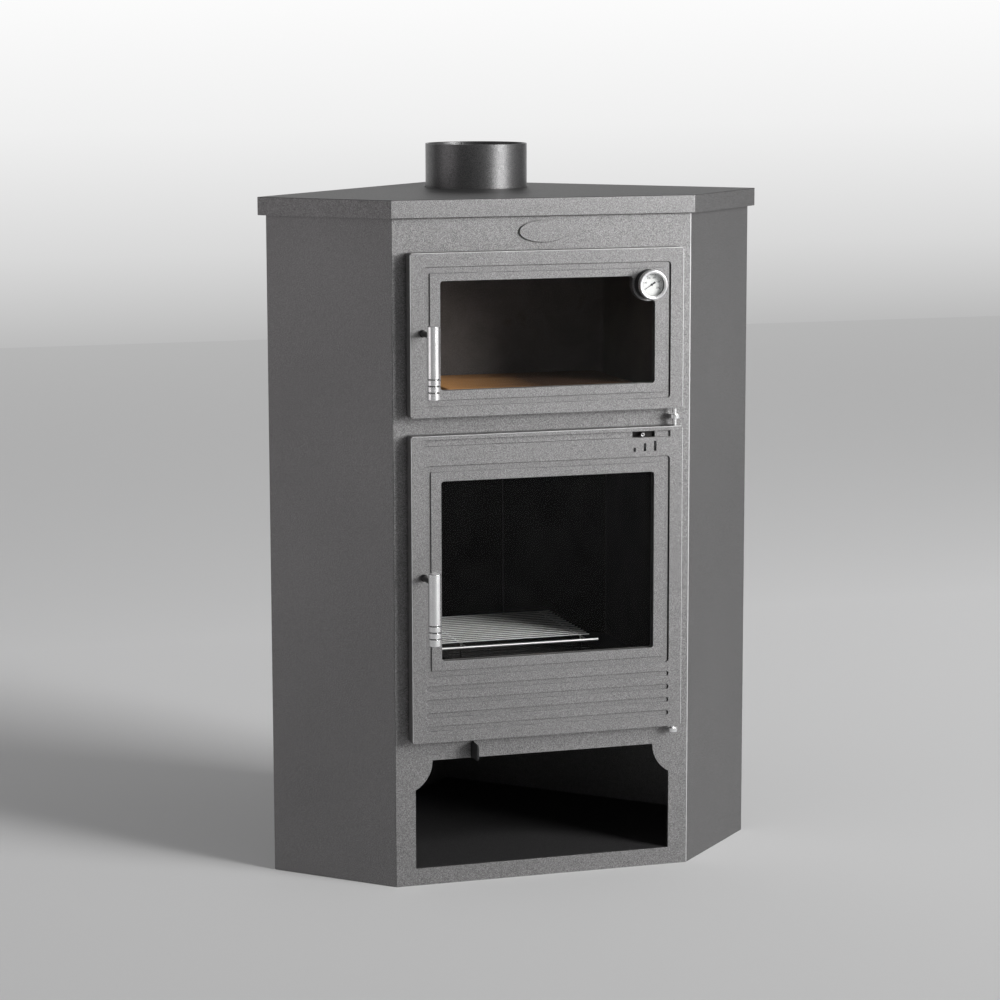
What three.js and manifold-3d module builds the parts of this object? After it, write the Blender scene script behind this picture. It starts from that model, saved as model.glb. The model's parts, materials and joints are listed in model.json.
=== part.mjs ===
// A corner wood cookstove: a five-sided sheet steel cabinet with a glazed oven above a glazed
// firebox, and an open log niche below. Millimetres, +Z up, the front faces -Y.
//
// While it is drawn, the outer face of the front panel is the plane y = 0, x = 0 is the plane
// of symmetry, and z = 0 is the floor. The last lines move the whole stove so that its origin
// lies under the middle of everything that it reaches.

import * as THREE from 'three';
import { mergeVertices } from 'three/addons/utils/BufferGeometryUtils.js';
import Module from 'manifold-3d';

const wasm = await Module();
wasm.setup();

// ---------------------------------------------------------------- driving dimensions

const SEAT = 0.3; // clearance between pieces that touch

// Cabinet
const FRONT_WIDTH = 436; // flat front panel
const SIDE_LENGTH = 202; // each side panel, turned back by 45 degrees
const TOP_HEIGHT = 965; // floor to the cooking plate
const FRONT_SHEET = 4;
const SIDE_SHEET = 3;
const LID_SHEET = 4;
const LID_RIM = 25.5; // height of the folded rim
const LID_RIM_SHEET = 3;
const LID_OVERHANG = 7; // past the front and the sides
const LID_BACK_OVERHANG = 9;

// Flue collar
const FLUE_DIAMETER = 150;
const FLUE_WALL = 3;
const FLUE_RISE = 64; // above the cooking plate
const FLUE_FROM_FRONT = 322;
const FLUE_FLANGE = 13; // width of the ring that sits on the smoke chamber
const FLUE_HOLE_GAP = 1;

// Log niche
const NICHE_BOTTOM = 24.5;
const NICHE_TOP = 179.5;
const NICHE_WIDTH = 378;
const NICHE_CORNER = 47; // radius of the bulging upper corners
const NICHE_CORNER_OUT = 22; // arc centre outside the niche's side
const FLOOR_SHEET = 3;
const PLINTH_LEG = 3;
const PLINTH_FOOT = 25;
const NICHE_ROOF_RISE = 27.5; // underside of the roof above the niche's upper edge

// Doors, both hung on the right
const DOOR_WIDTH = 398;
const DOOR_THICKNESS = 20;
const DOOR_GAP = 3; // door to front panel, closed
const DOOR_CORNER = 3.5;
const OVEN_DOOR_HEIGHT = 226.5;
const OVEN_DOOR_DROP = 71.5; // oven door's upper edge below the cooking plate
const DOOR_SPACE = 25; // between the oven door and the fire door
const FIRE_DOOR_RISE = 30; // fire door's lower edge above the niche
const OVEN_DOOR_BOTTOM = TOP_HEIGHT - OVEN_DOOR_DROP - OVEN_DOOR_HEIGHT;
const FIRE_DOOR_BOTTOM = NICHE_TOP + FIRE_DOOR_RISE;
const FIRE_DOOR_HEIGHT = OVEN_DOOR_BOTTOM - DOOR_SPACE - FIRE_DOOR_BOTTOM;
const DOOR_EDGE_CHAMFER = 3;
const FRAME_LIP = 5; // steel in front of the glass

// Decorative grooves of the doors
const GROOVE_INSET = 19.5;
const GROOVE_WIDTH = 8.5;
const GROOVE_DEPTH = 2;
const GROOVE_CORNER = 5;
const OVEN_GROOVE_RISE = 15.5; // from the oven door's lower edge
const FIRE_GROOVE_DROP = 42; // from the fire door's upper edge
const FIRE_GROOVE_RISE = 94;
const RIB_GROOVES = 4;
const RIB_GROOVE_HEIGHT = 6.8;
const RIB_GROOVE_PITCH = 19;
const RIB_GROOVE_FIRST = 20.3; // lowest groove's centre above the fire door's lower edge

// Windows
const WINDOW_SIDE = 43; // door edge to glass opening
const OVEN_WINDOW_TOP = 39;
const OVEN_WINDOW_BOTTOM = 37.3;
const FIRE_WINDOW_TOP = 63.8;
const FIRE_WINDOW_BOTTOM = 116.3;
const WINDOW_CORNER = 4;
const GLASS_THICKNESS = 4;
const GLASS_LAP = 6; // glass behind the lip
const RETAINER_THICKNESS = 2.5;
const RETAINER_WIDTH = 6;

// Openings of the front panel behind the doors
const OPENING_INSET = 33; // from the door's edges
const OPENING_CORNER = 6;
const ROPE_INSET = 26.5; // centreline of the sealing rope
const ROPE_WIDTH = 7;
const ROPE_GROOVE = 6;

// Hinges
const HINGE_INSET = 9; // axis to the door's right edge
const HINGE_FROM_DOOR_BACK = 10;
const HINGE_PLATE = 6;
const HINGE_PLATE_WIDTH = 14;
const HINGE_PIN = 6;
const HINGE_PIN_DEPTH = 12;
const HINGE_CLEARANCE = 0.4;
const LOWER_HINGE_DROP = 4.5; // bracket below the fire door
const UPPER_HINGE_DROP = 15.5; // hidden bracket below the oven door's upper edge
const HINGE_KERF = 8;
const HINGE_KERF_SKIN = 2; // steel left in front of the hidden bracket

// Handles
const HANDLE_INSET = 17; // turning axis to the door's left edge
const GRIP_DIAMETER = 17.5;
const GRIP_LENGTH = 101.5;
const GRIP_ABOVE_STEM = 15.5;
const GRIP_STANDOFF = 55; // grip axis in front of the door
const GRIP_GROOVES = 3;
const GRIP_GROOVE_FIRST = 11; // above the grip's lower end
const GRIP_GROOVE_PITCH = 9;
const GRIP_GROOVE_WIDTH = 1.6;
const GRIP_GROOVE_DEPTH = 0.8;
const GRIP_CHAMFER = 1;
const STEM_DIAMETER = 11;
const STEM_FOOT_DIAMETER = 16;
const STEM_FOOT_LENGTH = 4;
const SHAFT_DIAMETER = 6;
const OVEN_STEM_RISE = 117; // above the oven door's lower edge
const FIRE_STEM_RISE = 235.5; // above the fire door's lower edge

// Latches: a cam on the handle's shaft turns behind a hook that stands on the front panel,
// both inside a pocket in the back of the door
const CAM_LENGTH = 9;
const CAM_WIDTH = 6;
const CAM_THICKNESS = 3.2;
const CAM_HUB = 8.6;
const LATCH_POCKET = 10; // depth, from the back of the door
const LATCH_POCKET_WALL = 2.5; // steel left at the door's edge
const LATCH_POCKET_SPARE = 4;
const LATCH_POCKET_RIGHT = 5; // from the handle's axis
const HOOK_SHEET = 2.5;
const HOOK_WIDTH = 8;
const HOOK_REACH = 8; // in front of the back of the door
const HOOK_LIP = 7; // length of the lip that holds the cam
const HOOK_FOOT = 2;
const HOOK_CLEARANCE = 1.5; // to the pocket's side wall
const CAM_CLEARANCE = 0.7;

// Oven thermometer
const DIAL_FROM_RIGHT = 53; // centre to the door's right edge
const DIAL_FROM_TOP = 50.2;
const BOSS_RADIUS = 24; // lip around the thermometer
const CASE_RADIUS = 19.5;
const CASE_LENGTH = 17;
const CASE_WALL = 2;
const CASE_BACK = 12.6;
const BEZEL_RADIUS = 20.9;
const BEZEL_LENGTH = 8;
const BEZEL_LIP = 2;
const BEZEL_OPENING = 15.8;
const DIAL_THICKNESS = 0.7;
const LENS_THICKNESS = 1.5;
const NEEDLE_LENGTH = 12.5;
const NEEDLE_TAIL = 5;
const NEEDLE_THICKNESS = 0.6;
const NEEDLE_REST = 33; // degrees below the left horizontal, the cold end of the scale
const PROBE_DIAMETER = 6;
const PROBE_REACH = 20; // behind the front panel's face

// Secondary air slide in the fire door
const AIR_SLOT_DROP = 10.2; // slot centre below the door's upper edge
const AIR_SLOT_HEIGHT = 8.4;
const AIR_SLOT_DEPTH = 3;
const AIR_WINDOW_RIGHT = 41.3; // window's right end to the door's right edge
const AIR_WINDOW_LENGTH = 33;
const AIR_WEB = 4;
const AIR_PLATE_LENGTH = 42;
const AIR_PLATE_HEIGHT = 13;
const AIR_PLATE_SHEET = 2;
const AIR_PIN_DIAMETER = 5;
const AIR_PIN_FROM_WINDOW = 13.5; // pin's place at rest, from the window's left end
const AIR_PIN_PROUD = 2;
const MARK_HEIGHTS = [5.2, 11.2, 14]; // three engraved settings, short to long
const MARK_WIDTH = 3.2;
const MARK_DEPTH = 1;
const MARK_PITCH = 15.3;
const MARK_DROP = 34.2; // marks' lower end below the door's upper edge

// Primary air slider under the firebox
const TAB_X = -105.5;
const TAB_THICKNESS = 3;
const TAB_HEIGHT = 22.5;
const TAB_PROUD = 28;
const TAB_CLEARANCE = 0.6;
const SLIDER_WIDTH = 50;
const SLIDER_SHEET = 3;
const SLIDER_FRONT = 35;
const SLIDER_LENGTH = 170;
const SLIDER_PORT = 15; // radius of the air hole in the slider
const GUIDE_SHEET = 2;
const GUIDE_LENGTH = 80;
const GUIDE_START = 75;
const AIR_INLET_INSET = 15; // air hole of the firebox floor, its edge to the side wall
const FIN_LENGTH = 15; // root of the pull tab, under the slider

// Inner body: a box with angled rear corners, round the fire and the oven
const BODY_WIDTH = 416;
const BODY_BACK = 402; // outer face of its rear wall
const BODY_ANGLE_SUM = 470; // x + y on the outer face of an angled wall
const BODY_SHEET = 3;
const BODY_DROP = 34; // smoke chamber's ceiling below the cooking plate
const BODY_TOP = TOP_HEIGHT - BODY_DROP;
const FIRE_OPENING_BOTTOM = 33.5; // above the fire door's lower edge

// Fire bed
const HEARTH_RISE = 46; // hearth plate above the firebox floor
const HEARTH_SHEET = 4;
const BRICK = 25;
const BRICK_DROP = 24; // upper edge of the bricks below the fire door's
const BRICK_FRONT = 14.3;
const BAFFLE_THICKNESS = 12;
const BAFFLE_FRONT = 80;
const GRATE_WIDTH = 240;
const GRATE_DEPTH = 210;
const GRATE_FRONT = 50;
const GRATE_THICKNESS = 12;
const GRATE_SLOTS = 9;
const GRATE_SLOT = 9;
const GRATE_BORDER = 14;
const GRATE_LEDGE = 10;
const PAN_WIDTH = 290;
const PAN_DEPTH = 230;
const PAN_HEIGHT = 38;
const PAN_SHEET = 1.5;
const PAN_FRONT = 20;
const PAN_FLARE = 6;

// Wire grill that stands on the grate
const GRILL_LEFT = -155;
const GRILL_RIGHT = 95;
const GRILL_FRONT = 40;
const GRILL_BACK = 262;
const GRILL_RISE = 24; // wires above the grate
const GRILL_BARS = 16; // between the front and the rear rod
const GRILL_WIRE = 3.6;
const GRILL_ROD = 6;
const GRILL_LEG_LEFT = -100;
const GRILL_LEG_RIGHT = 80;
const GRILL_LEG_FRONT = 75;
const GRILL_LEG_BACK = 235;

// Oven
const OVEN_SHEET = 2.5;
const OVEN_CLEAR = 1; // oven walls outside the opening
const OVEN_DEPTH = 222;
const OVEN_FLOOR_DROP = 12; // floor below the opening
const OVEN_ROOF_RISE = 3.5;
const STONE_WIDTH = 274;
const STONE_DEPTH = 163;
const STONE_FRONT = 12;
const STONE_THICKNESS = 14;
const STONE_CORNER = 5;

// Convection slots of the rear panels
const VENTS_IN_GROUP = 3;
const VENT_LENGTH = 100;
const VENT_HEIGHT = 16;
const VENT_PITCH = 36;
const LOWER_VENT = 270; // lowest slot above the floor
const UPPER_VENT_DROP = 275; // lowest slot of the upper group below the cooking plate

// ---------------------------------------------------------------- finishes

const finish = (colour, roughness, metalness) => ({ color: colour, roughness, metalness });
const GREY_PAINT = finish(0x8a8988, 0.62, 0.35);
const DARK_PAINT = finish(0x4a4a4b, 0.7, 0.3);
const RAW_STEEL = finish(0x2b2a29, 0.6, 0.6);
const CAST_IRON = finish(0x2a2928, 0.8, 0.5);
const BRIGHT_STEEL = finish(0xd8d8d6, 0.18, 1);
const BLACK_STEEL = finish(0x1c1c1d, 0.45, 0.5);
const VERMICULITE = finish(0xb59b74, 0.95, 0);
const FIRE_STONE = finish(0xc18a55, 0.9, 0);
const DARK_GLASS = finish(0x14110f, 0.05, 0);
const CLEAR_GLASS = finish(0xdfe6e8, 0.05, 0);
const ROPE_GREY = finish(0x4b4a48, 1, 0);
const DIAL_WHITE = finish(0xf3f3f0, 0.5, 0);

// ---------------------------------------------------------------- solids

const QUARTER = Math.PI / 2;
const DIAGONAL = Math.SQRT2;

function toSolid(geometry) {
  const bare = geometry.index ? geometry.toNonIndexed() : geometry.clone();
  bare.deleteAttribute('normal');
  bare.deleteAttribute('uv');
  const merged = mergeVertices(bare, 1e-4);
  const corners = merged.index.array;
  const kept = [];
  for (let i = 0; i < corners.length; i += 3) {
    const [a, b, c] = [corners[i], corners[i + 1], corners[i + 2]];
    if (a !== b && b !== c && c !== a) kept.push(a, b, c);
  }
  return new wasm.Manifold(new wasm.Mesh({
    numProp: 3,
    vertProperties: Float32Array.from(merged.attributes.position.array),
    triVerts: Uint32Array.from(kept),
  }));
}

function toGeometry(solid) {
  const mesh = solid.getMesh();
  const geometry = new THREE.BufferGeometry();
  const points = new Float32Array(mesh.numVert * 3);
  for (let i = 0; i < mesh.numVert; i += 1) {
    for (let axis = 0; axis < 3; axis += 1) {
      points[i * 3 + axis] = mesh.vertProperties[i * mesh.numProp + axis];
    }
  }
  geometry.setAttribute('position', new THREE.BufferAttribute(points, 3));
  geometry.setIndex(new THREE.BufferAttribute(Uint32Array.from(mesh.triVerts), 1));
  geometry.computeVertexNormals();
  return geometry;
}

const join = (...solids) => solids.reduce((all, one) => all.add(one));
const cut = (solid, ...tools) => tools.reduce((left, tool) => left.subtract(tool), solid);

function box(x0, x1, y0, y1, z0, z1) {
  const geometry = new THREE.BoxGeometry(x1 - x0, y1 - y0, z1 - z0);
  geometry.translate((x0 + x1) / 2, (y0 + y1) / 2, (z0 + z1) / 2);
  return toSolid(geometry);
}

// An outline seen from above, carried from z0 up to z1.
function upright(points, z0, z1) {
  const shape = new THREE.Shape(points.map(([x, y]) => new THREE.Vector2(x, y)));
  const geometry = new THREE.ExtrudeGeometry(shape, { depth: z1 - z0, bevelEnabled: false });
  geometry.translate(0, 0, z0);
  return toSolid(geometry);
}

// An outline seen from the front (x, z), carried from yFront back to yBack.
function frontal(shape, yFront, yBack, arcSteps = 3) {
  const options = { depth: yBack - yFront, bevelEnabled: false, curveSegments: arcSteps };
  const geometry = new THREE.ExtrudeGeometry(shape, options);
  geometry.rotateX(QUARTER);
  geometry.translate(0, yBack, 0);
  return toSolid(geometry);
}

function roundedRect(x0, x1, z0, z1, radius) {
  const shape = new THREE.Shape();
  shape.moveTo(x0 + radius, z0);
  shape.lineTo(x1 - radius, z0);
  shape.absarc(x1 - radius, z0 + radius, radius, -QUARTER, 0, false);
  shape.lineTo(x1, z1 - radius);
  shape.absarc(x1 - radius, z1 - radius, radius, 0, QUARTER, false);
  shape.lineTo(x0 + radius, z1);
  shape.absarc(x0 + radius, z1 - radius, radius, QUARTER, 2 * QUARTER, false);
  shape.lineTo(x0, z0 + radius);
  shape.absarc(x0 + radius, z0 + radius, radius, 2 * QUARTER, 3 * QUARTER, false);
  return shape;
}

const slab = (x0, x1, z0, z1, radius, yFront, yBack) =>
  frontal(roundedRect(x0, x1, z0, z1, radius), yFront, yBack);

function rodY(x, z, radius, y0, y1, sides = 24) {
  const geometry = new THREE.CylinderGeometry(radius, radius, y1 - y0, sides);
  geometry.translate(x, (y0 + y1) / 2, z);
  return toSolid(geometry);
}

function rodZ(x, y, radius, z0, z1, sides = 24) {
  const geometry = new THREE.CylinderGeometry(radius, radius, z1 - z0, sides);
  geometry.rotateX(QUARTER);
  geometry.translate(x, y, (z0 + z1) / 2);
  return toSolid(geometry);
}

function rodX(y, z, radius, x0, x1, sides = 8) {
  const geometry = new THREE.CylinderGeometry(radius, radius, x1 - x0, sides);
  geometry.rotateZ(QUARTER);
  geometry.translate((x0 + x1) / 2, y, z);
  return toSolid(geometry);
}

// A profile of [radius, height] pairs turned round a vertical axis.
function turned(profile, x, y, sides = 48) {
  const closed = [...profile, profile[0]].map(([r, h]) => new THREE.Vector2(r, h));
  const geometry = new THREE.LatheGeometry(closed, sides);
  geometry.rotateX(QUARTER);
  geometry.translate(x, y, 0);
  return toSolid(geometry);
}

// ---------------------------------------------------------------- assemblies

const stove = new THREE.Group();

// A body that moves by itself: its group sits on its own axis.
function assembly(parent, x, y, z) {
  const group = new THREE.Group();
  group.userData.axis = new THREE.Vector3(x, y, z);
  const parentAxis = parent.userData.axis ?? new THREE.Vector3();
  group.position.copy(group.userData.axis).sub(parentAxis);
  parent.add(group);
  return group;
}

function add(group, name, solid, look) {
  const geometry = toGeometry(solid);
  const axis = group.userData.axis ?? new THREE.Vector3();
  geometry.translate(-axis.x, -axis.y, -axis.z);
  const mesh = new THREE.Mesh(geometry, new THREE.MeshStandardMaterial(look));
  mesh.name = name;
  group.add(mesh);
}

// ---------------------------------------------------------------- cabinet outlines

const HALF_FRONT = FRONT_WIDTH / 2;
const BACK_SUM = HALF_FRONT + 2 * (SIDE_LENGTH / DIAGONAL); // x + y on a rear panel

// Corners of the right half of the cabinet, moved inwards by each face's own inset.
function cabinetCorners(front, side, back) {
  const difference = HALF_FRONT - side * DIAGONAL;
  const sum = BACK_SUM - back * DIAGONAL;
  return [
    [difference + front, front],
    [(sum + difference) / 2, (sum - difference) / 2],
    [0, sum],
  ];
}

function cabinetOutline(front, side, back) {
  const [fold, corner, rear] = cabinetCorners(front, side, back);
  return [[-fold[0], fold[1]], fold, corner, rear, [-corner[0], corner[1]]];
}

const mirrored = (points) => points.map(([x, y]) => [-x, y]).reverse();

// The plan of one sheet between two outlines, from corner a to corner b, mitred at both
// ends and drawn in by the seat clearance.
function mitredSheet(outer, inner, from, to) {
  const along = new THREE.Vector2(outer[to][0] - outer[from][0], outer[to][1] - outer[from][1]);
  along.setLength(SEAT);
  const near = ([x, y]) => [x + along.x, y + along.y];
  const far = ([x, y]) => [x - along.x, y - along.y];
  return [near(outer[from]), far(outer[to]), far(inner[to]), near(inner[from])];
}

const OUTER_FACE = cabinetCorners(0, 0, 0);
const INNER_FACE = cabinetCorners(FRONT_SHEET, SIDE_SHEET, SIDE_SHEET);
const LINED_OUTLINE = cabinetOutline(FRONT_SHEET + SEAT, SIDE_SHEET + SEAT, SIDE_SHEET + SEAT);
const PANEL_TOP = TOP_HEIGHT - LID_SHEET - SEAT;

// ---------------------------------------------------------------- plinth and niche

const NICHE_FLOOR_UNDER = NICHE_BOTTOM - FLOOR_SHEET;
const NICHE_ROOF_UNDER = NICHE_TOP + NICHE_ROOF_RISE;
const NICHE_ROOF_TOP = NICHE_ROOF_UNDER + FLOOR_SHEET;

function insetOutline(extra) {
  const side = SIDE_SHEET + SEAT + extra;
  return cabinetOutline(FRONT_SHEET + SEAT + extra, side, side);
}

function plinthFrame() {
  const height = NICHE_FLOOR_UNDER - SEAT;
  const block = upright(LINED_OUTLINE, 0, height);
  const hollow = upright(insetOutline(PLINTH_LEG), PLINTH_LEG, height + 1);
  const opening = upright(insetOutline(PLINTH_FOOT), -1, PLINTH_LEG + 1);
  return cut(block, hollow, opening);
}

add(stove, 'plinth_frame', plinthFrame(), DARK_PAINT);
add(stove, 'niche_floor', upright(LINED_OUTLINE, NICHE_FLOOR_UNDER, NICHE_BOTTOM), DARK_PAINT);

const SLIDER_PORT_Y = GUIDE_START + GUIDE_LENGTH + SLIDER_PORT + 12;

function nicheRoof() {
  const plate = upright(LINED_OUTLINE, NICHE_ROOF_UNDER, NICHE_ROOF_TOP);
  const port = rodZ(TAB_X, SLIDER_PORT_Y, SLIDER_PORT, NICHE_ROOF_UNDER - 1, NICHE_ROOF_TOP + 1);
  return cut(plate, port);
}

add(stove, 'niche_roof', nicheRoof(), DARK_PAINT);

// ---------------------------------------------------------------- doors: shared places

const DOOR_BACK = -DOOR_GAP;
const DOOR_FACE = DOOR_BACK - DOOR_THICKNESS;
const DOOR_RIGHT = DOOR_WIDTH / 2;
const DOOR_LEFT = -DOOR_RIGHT;
const HINGE_X = DOOR_RIGHT - HINGE_INSET;
const HINGE_Y = DOOR_BACK - HINGE_FROM_DOOR_BACK;
const HANDLE_X = DOOR_LEFT + HANDLE_INSET;

const OVEN = {
  bottom: OVEN_DOOR_BOTTOM,
  top: OVEN_DOOR_BOTTOM + OVEN_DOOR_HEIGHT,
  windowBottom: OVEN_DOOR_BOTTOM + OVEN_WINDOW_BOTTOM,
  windowTop: OVEN_DOOR_BOTTOM + OVEN_DOOR_HEIGHT - OVEN_WINDOW_TOP,
  stem: OVEN_DOOR_BOTTOM + OVEN_STEM_RISE,
};
const FIRE = {
  bottom: FIRE_DOOR_BOTTOM,
  top: FIRE_DOOR_BOTTOM + FIRE_DOOR_HEIGHT,
  windowBottom: FIRE_DOOR_BOTTOM + FIRE_WINDOW_BOTTOM,
  windowTop: FIRE_DOOR_BOTTOM + FIRE_DOOR_HEIGHT - FIRE_WINDOW_TOP,
  stem: FIRE_DOOR_BOTTOM + FIRE_STEM_RISE,
};
const DIAL_X = DOOR_RIGHT - DIAL_FROM_RIGHT;
const DIAL_Z = OVEN.top - DIAL_FROM_TOP;

// ---------------------------------------------------------------- front panel

const OPENING_LEFT = DOOR_LEFT + OPENING_INSET;
const OPENING_RIGHT = DOOR_RIGHT - OPENING_INSET;

function doorOpening(door) {
  const bottom = door.bottom + OPENING_INSET;
  const top = door.top - OPENING_INSET;
  return slab(OPENING_LEFT, OPENING_RIGHT, bottom, top, OPENING_CORNER, -1, FRONT_SHEET + 1);
}

// The niche opening's upper corners are quarter-round lobes of the panel.
function nicheOpening() {
  const right = NICHE_WIDTH / 2;
  const centre = right + NICHE_CORNER_OUT;
  const start = Math.acos(-NICHE_CORNER_OUT / NICHE_CORNER);
  const shape = new THREE.Shape();
  shape.moveTo(-right, NICHE_BOTTOM);
  shape.lineTo(right, NICHE_BOTTOM);
  shape.absarc(centre, NICHE_TOP, NICHE_CORNER, -start, -Math.PI, true);
  shape.absarc(-centre, NICHE_TOP, NICHE_CORNER, 0, start - Math.PI, true);
  return frontal(shape, -1, FRONT_SHEET + 1, 12);
}

const TAB_TOP = NICHE_TOP + TAB_HEIGHT + TAB_CLEARANCE;

function tabNotch() {
  const half = TAB_THICKNESS / 2 + TAB_CLEARANCE;
  return box(TAB_X - half, TAB_X + half, -1, FRONT_SHEET + 1, NICHE_TOP - 1, TAB_TOP + TAB_CLEARANCE);
}

function frontPanel() {
  const [outerEdge] = OUTER_FACE;
  const [innerEdge] = INNER_FACE;
  const plan = [
    [-outerEdge[0], outerEdge[1]],
    outerEdge,
    innerEdge,
    [-innerEdge[0], innerEdge[1]],
  ];
  const openings = [doorOpening(OVEN), doorOpening(FIRE), nicheOpening(), tabNotch()];
  return cut(upright(plan, 0, PANEL_TOP), ...openings);
}

add(stove, 'front_panel', frontPanel(), GREY_PAINT);

// ---------------------------------------------------------------- side and rear panels

const SIDE_PLAN = mitredSheet(OUTER_FACE, INNER_FACE, 0, 1);
const REAR_PLAN = mitredSheet(OUTER_FACE, INNER_FACE, 1, 2);

add(stove, 'right_side_panel', upright(SIDE_PLAN, 0, PANEL_TOP), GREY_PAINT);
add(stove, 'left_side_panel', upright(mirrored(SIDE_PLAN), 0, PANEL_TOP), GREY_PAINT);

// Rows of convection slots, cut square through the rear panel of the side given.
function ventSlots(side) {
  const [, corner, rear] = OUTER_FACE;
  const middle = new THREE.Vector3((corner[0] + rear[0]) / 2, (corner[1] + rear[1]) / 2, 0);
  const slots = [];
  for (const lowest of [LOWER_VENT, TOP_HEIGHT - UPPER_VENT_DROP]) {
    for (let slot = 0; slot < VENTS_IN_GROUP; slot += 1) {
      const height = lowest + slot * VENT_PITCH;
      const geometry = new THREE.BoxGeometry(VENT_LENGTH, SIDE_SHEET * 6, VENT_HEIGHT);
      geometry.rotateZ(-side * QUARTER / 2);
      geometry.translate(side * middle.x, middle.y, height);
      slots.push(toSolid(geometry));
    }
  }
  return slots;
}

const rightRear = cut(upright(REAR_PLAN, 0, PANEL_TOP), ...ventSlots(1));
const leftRear = cut(upright(mirrored(REAR_PLAN), 0, PANEL_TOP), ...ventSlots(-1));
add(stove, 'right_rear_panel', rightRear, GREY_PAINT);
add(stove, 'left_rear_panel', leftRear, GREY_PAINT);

// ---------------------------------------------------------------- cooking plate and flue

const FLUE_RADIUS = FLUE_DIAMETER / 2;

function topPlate() {
  const outer = cabinetOutline(-LID_OVERHANG, -LID_OVERHANG, -LID_BACK_OVERHANG);
  const inside = LID_OVERHANG - LID_RIM_SHEET;
  const inner = cabinetOutline(-inside, -inside, LID_RIM_SHEET - LID_BACK_OVERHANG);
  const low = TOP_HEIGHT - LID_RIM;
  const under = TOP_HEIGHT - LID_SHEET;
  const hole = FLUE_RADIUS + FLUE_HOLE_GAP;
  const flueHole = rodZ(0, FLUE_FROM_FRONT, hole, under - 1, TOP_HEIGHT + 1, 48);
  return cut(upright(outer, low, TOP_HEIGHT), upright(inner, low - 1, under), flueHole);
}

function flueCollar() {
  const bore = FLUE_RADIUS - FLUE_WALL;
  const foot = BODY_TOP + SEAT;
  const top = TOP_HEIGHT + FLUE_RISE;
  const profile = [
    [bore, foot],
    [FLUE_RADIUS + FLUE_FLANGE, foot],
    [FLUE_RADIUS + FLUE_FLANGE, foot + FLUE_WALL],
    [FLUE_RADIUS, foot + FLUE_WALL],
    [FLUE_RADIUS, top],
    [bore, top],
  ];
  return turned(profile, 0, FLUE_FROM_FRONT);
}

add(stove, 'top_plate', topPlate(), GREY_PAINT);
add(stove, 'flue_collar', flueCollar(), DARK_PAINT);

// ---------------------------------------------------------------- inner body

// Corners of the right half of the inner body, moved inwards.
function bodyCorners(inset) {
  const side = BODY_WIDTH / 2 - inset;
  const sum = BODY_ANGLE_SUM - inset * DIAGONAL;
  const back = BODY_BACK - inset;
  return [[side, FRONT_SHEET + SEAT], [side, sum - side], [sum - back, back], [back - sum, back]];
}

function bodyOutline(inset, front) {
  const [, sideCorner, rearCorner] = bodyCorners(inset);
  const right = [[sideCorner[0], front], sideCorner, rearCorner];
  return [...right, ...mirrored(right)];
}

const BODY_FRONT = FRONT_SHEET + SEAT;
const FLOOR_TOP = FIRE_DOOR_BOTTOM + FIRE_OPENING_BOTTOM - SEAT;
const CEILING_UNDER = BODY_TOP - BODY_SHEET;
const BODY_OUTER = bodyCorners(0);
const BODY_INNER = bodyCorners(BODY_SHEET);
const SIDE_WALL = mitredSheet(BODY_OUTER, BODY_INNER, 0, 1);
const ANGLED_WALL = mitredSheet(BODY_OUTER, BODY_INNER, 1, 2);
const REAR_WALL = mitredSheet(BODY_OUTER, BODY_INNER, 2, 3);
const WALL_BOTTOM = FLOOR_TOP + SEAT;
const WALL_TOP = CEILING_UNDER - SEAT;

const wall = (plan) => upright(plan, WALL_BOTTOM, WALL_TOP);

// The firebox floor has its air hole beside the ash pan.
function firebedFloor() {
  const under = FLOOR_TOP - BODY_SHEET;
  const plate = upright(bodyOutline(0, BODY_FRONT), under, FLOOR_TOP);
  const inlet = BODY_SHEET + AIR_INLET_INSET + SLIDER_PORT - BODY_WIDTH / 2;
  return cut(plate, rodZ(inlet, SLIDER_PORT_Y, SLIDER_PORT, under - 1, FLOOR_TOP + 1));
}

function smokeCeiling() {
  const bore = FLUE_RADIUS - FLUE_WALL;
  const plate = upright(bodyOutline(0, BODY_FRONT), CEILING_UNDER, BODY_TOP);
  return cut(plate, rodZ(0, FLUE_FROM_FRONT, bore, CEILING_UNDER - 1, BODY_TOP + 1, 48));
}

add(stove, 'firebox_floor', firebedFloor(), RAW_STEEL);
add(stove, 'right_inner_wall', wall(SIDE_WALL), RAW_STEEL);
add(stove, 'left_inner_wall', wall(mirrored(SIDE_WALL)), RAW_STEEL);
add(stove, 'right_angled_wall', wall(ANGLED_WALL), RAW_STEEL);
add(stove, 'left_angled_wall', wall(mirrored(ANGLED_WALL)), RAW_STEEL);
add(stove, 'rear_inner_wall', wall(REAR_WALL), RAW_STEEL);
add(stove, 'smoke_chamber_ceiling', smokeCeiling(), RAW_STEEL);

// ---------------------------------------------------------------- fire bed

const HEARTH_UNDER = FLOOR_TOP + HEARTH_RISE;
const HEARTH_TOP = HEARTH_UNDER + HEARTH_SHEET;
const BED_TOP = HEARTH_TOP + SEAT;
const GRATE_TOP = BED_TOP + GRATE_THICKNESS;
const GRATE_BACK = GRATE_FRONT + GRATE_DEPTH;

function hearthPlate() {
  const plate = upright(bodyOutline(BODY_SHEET + SEAT, BODY_FRONT), HEARTH_UNDER, HEARTH_TOP);
  const half = GRATE_WIDTH / 2 - GRATE_LEDGE;
  const front = GRATE_FRONT + GRATE_LEDGE;
  const back = GRATE_BACK - GRATE_LEDGE;
  return cut(plate, box(-half, half, front, back, HEARTH_UNDER - 1, HEARTH_TOP + 1));
}

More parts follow.
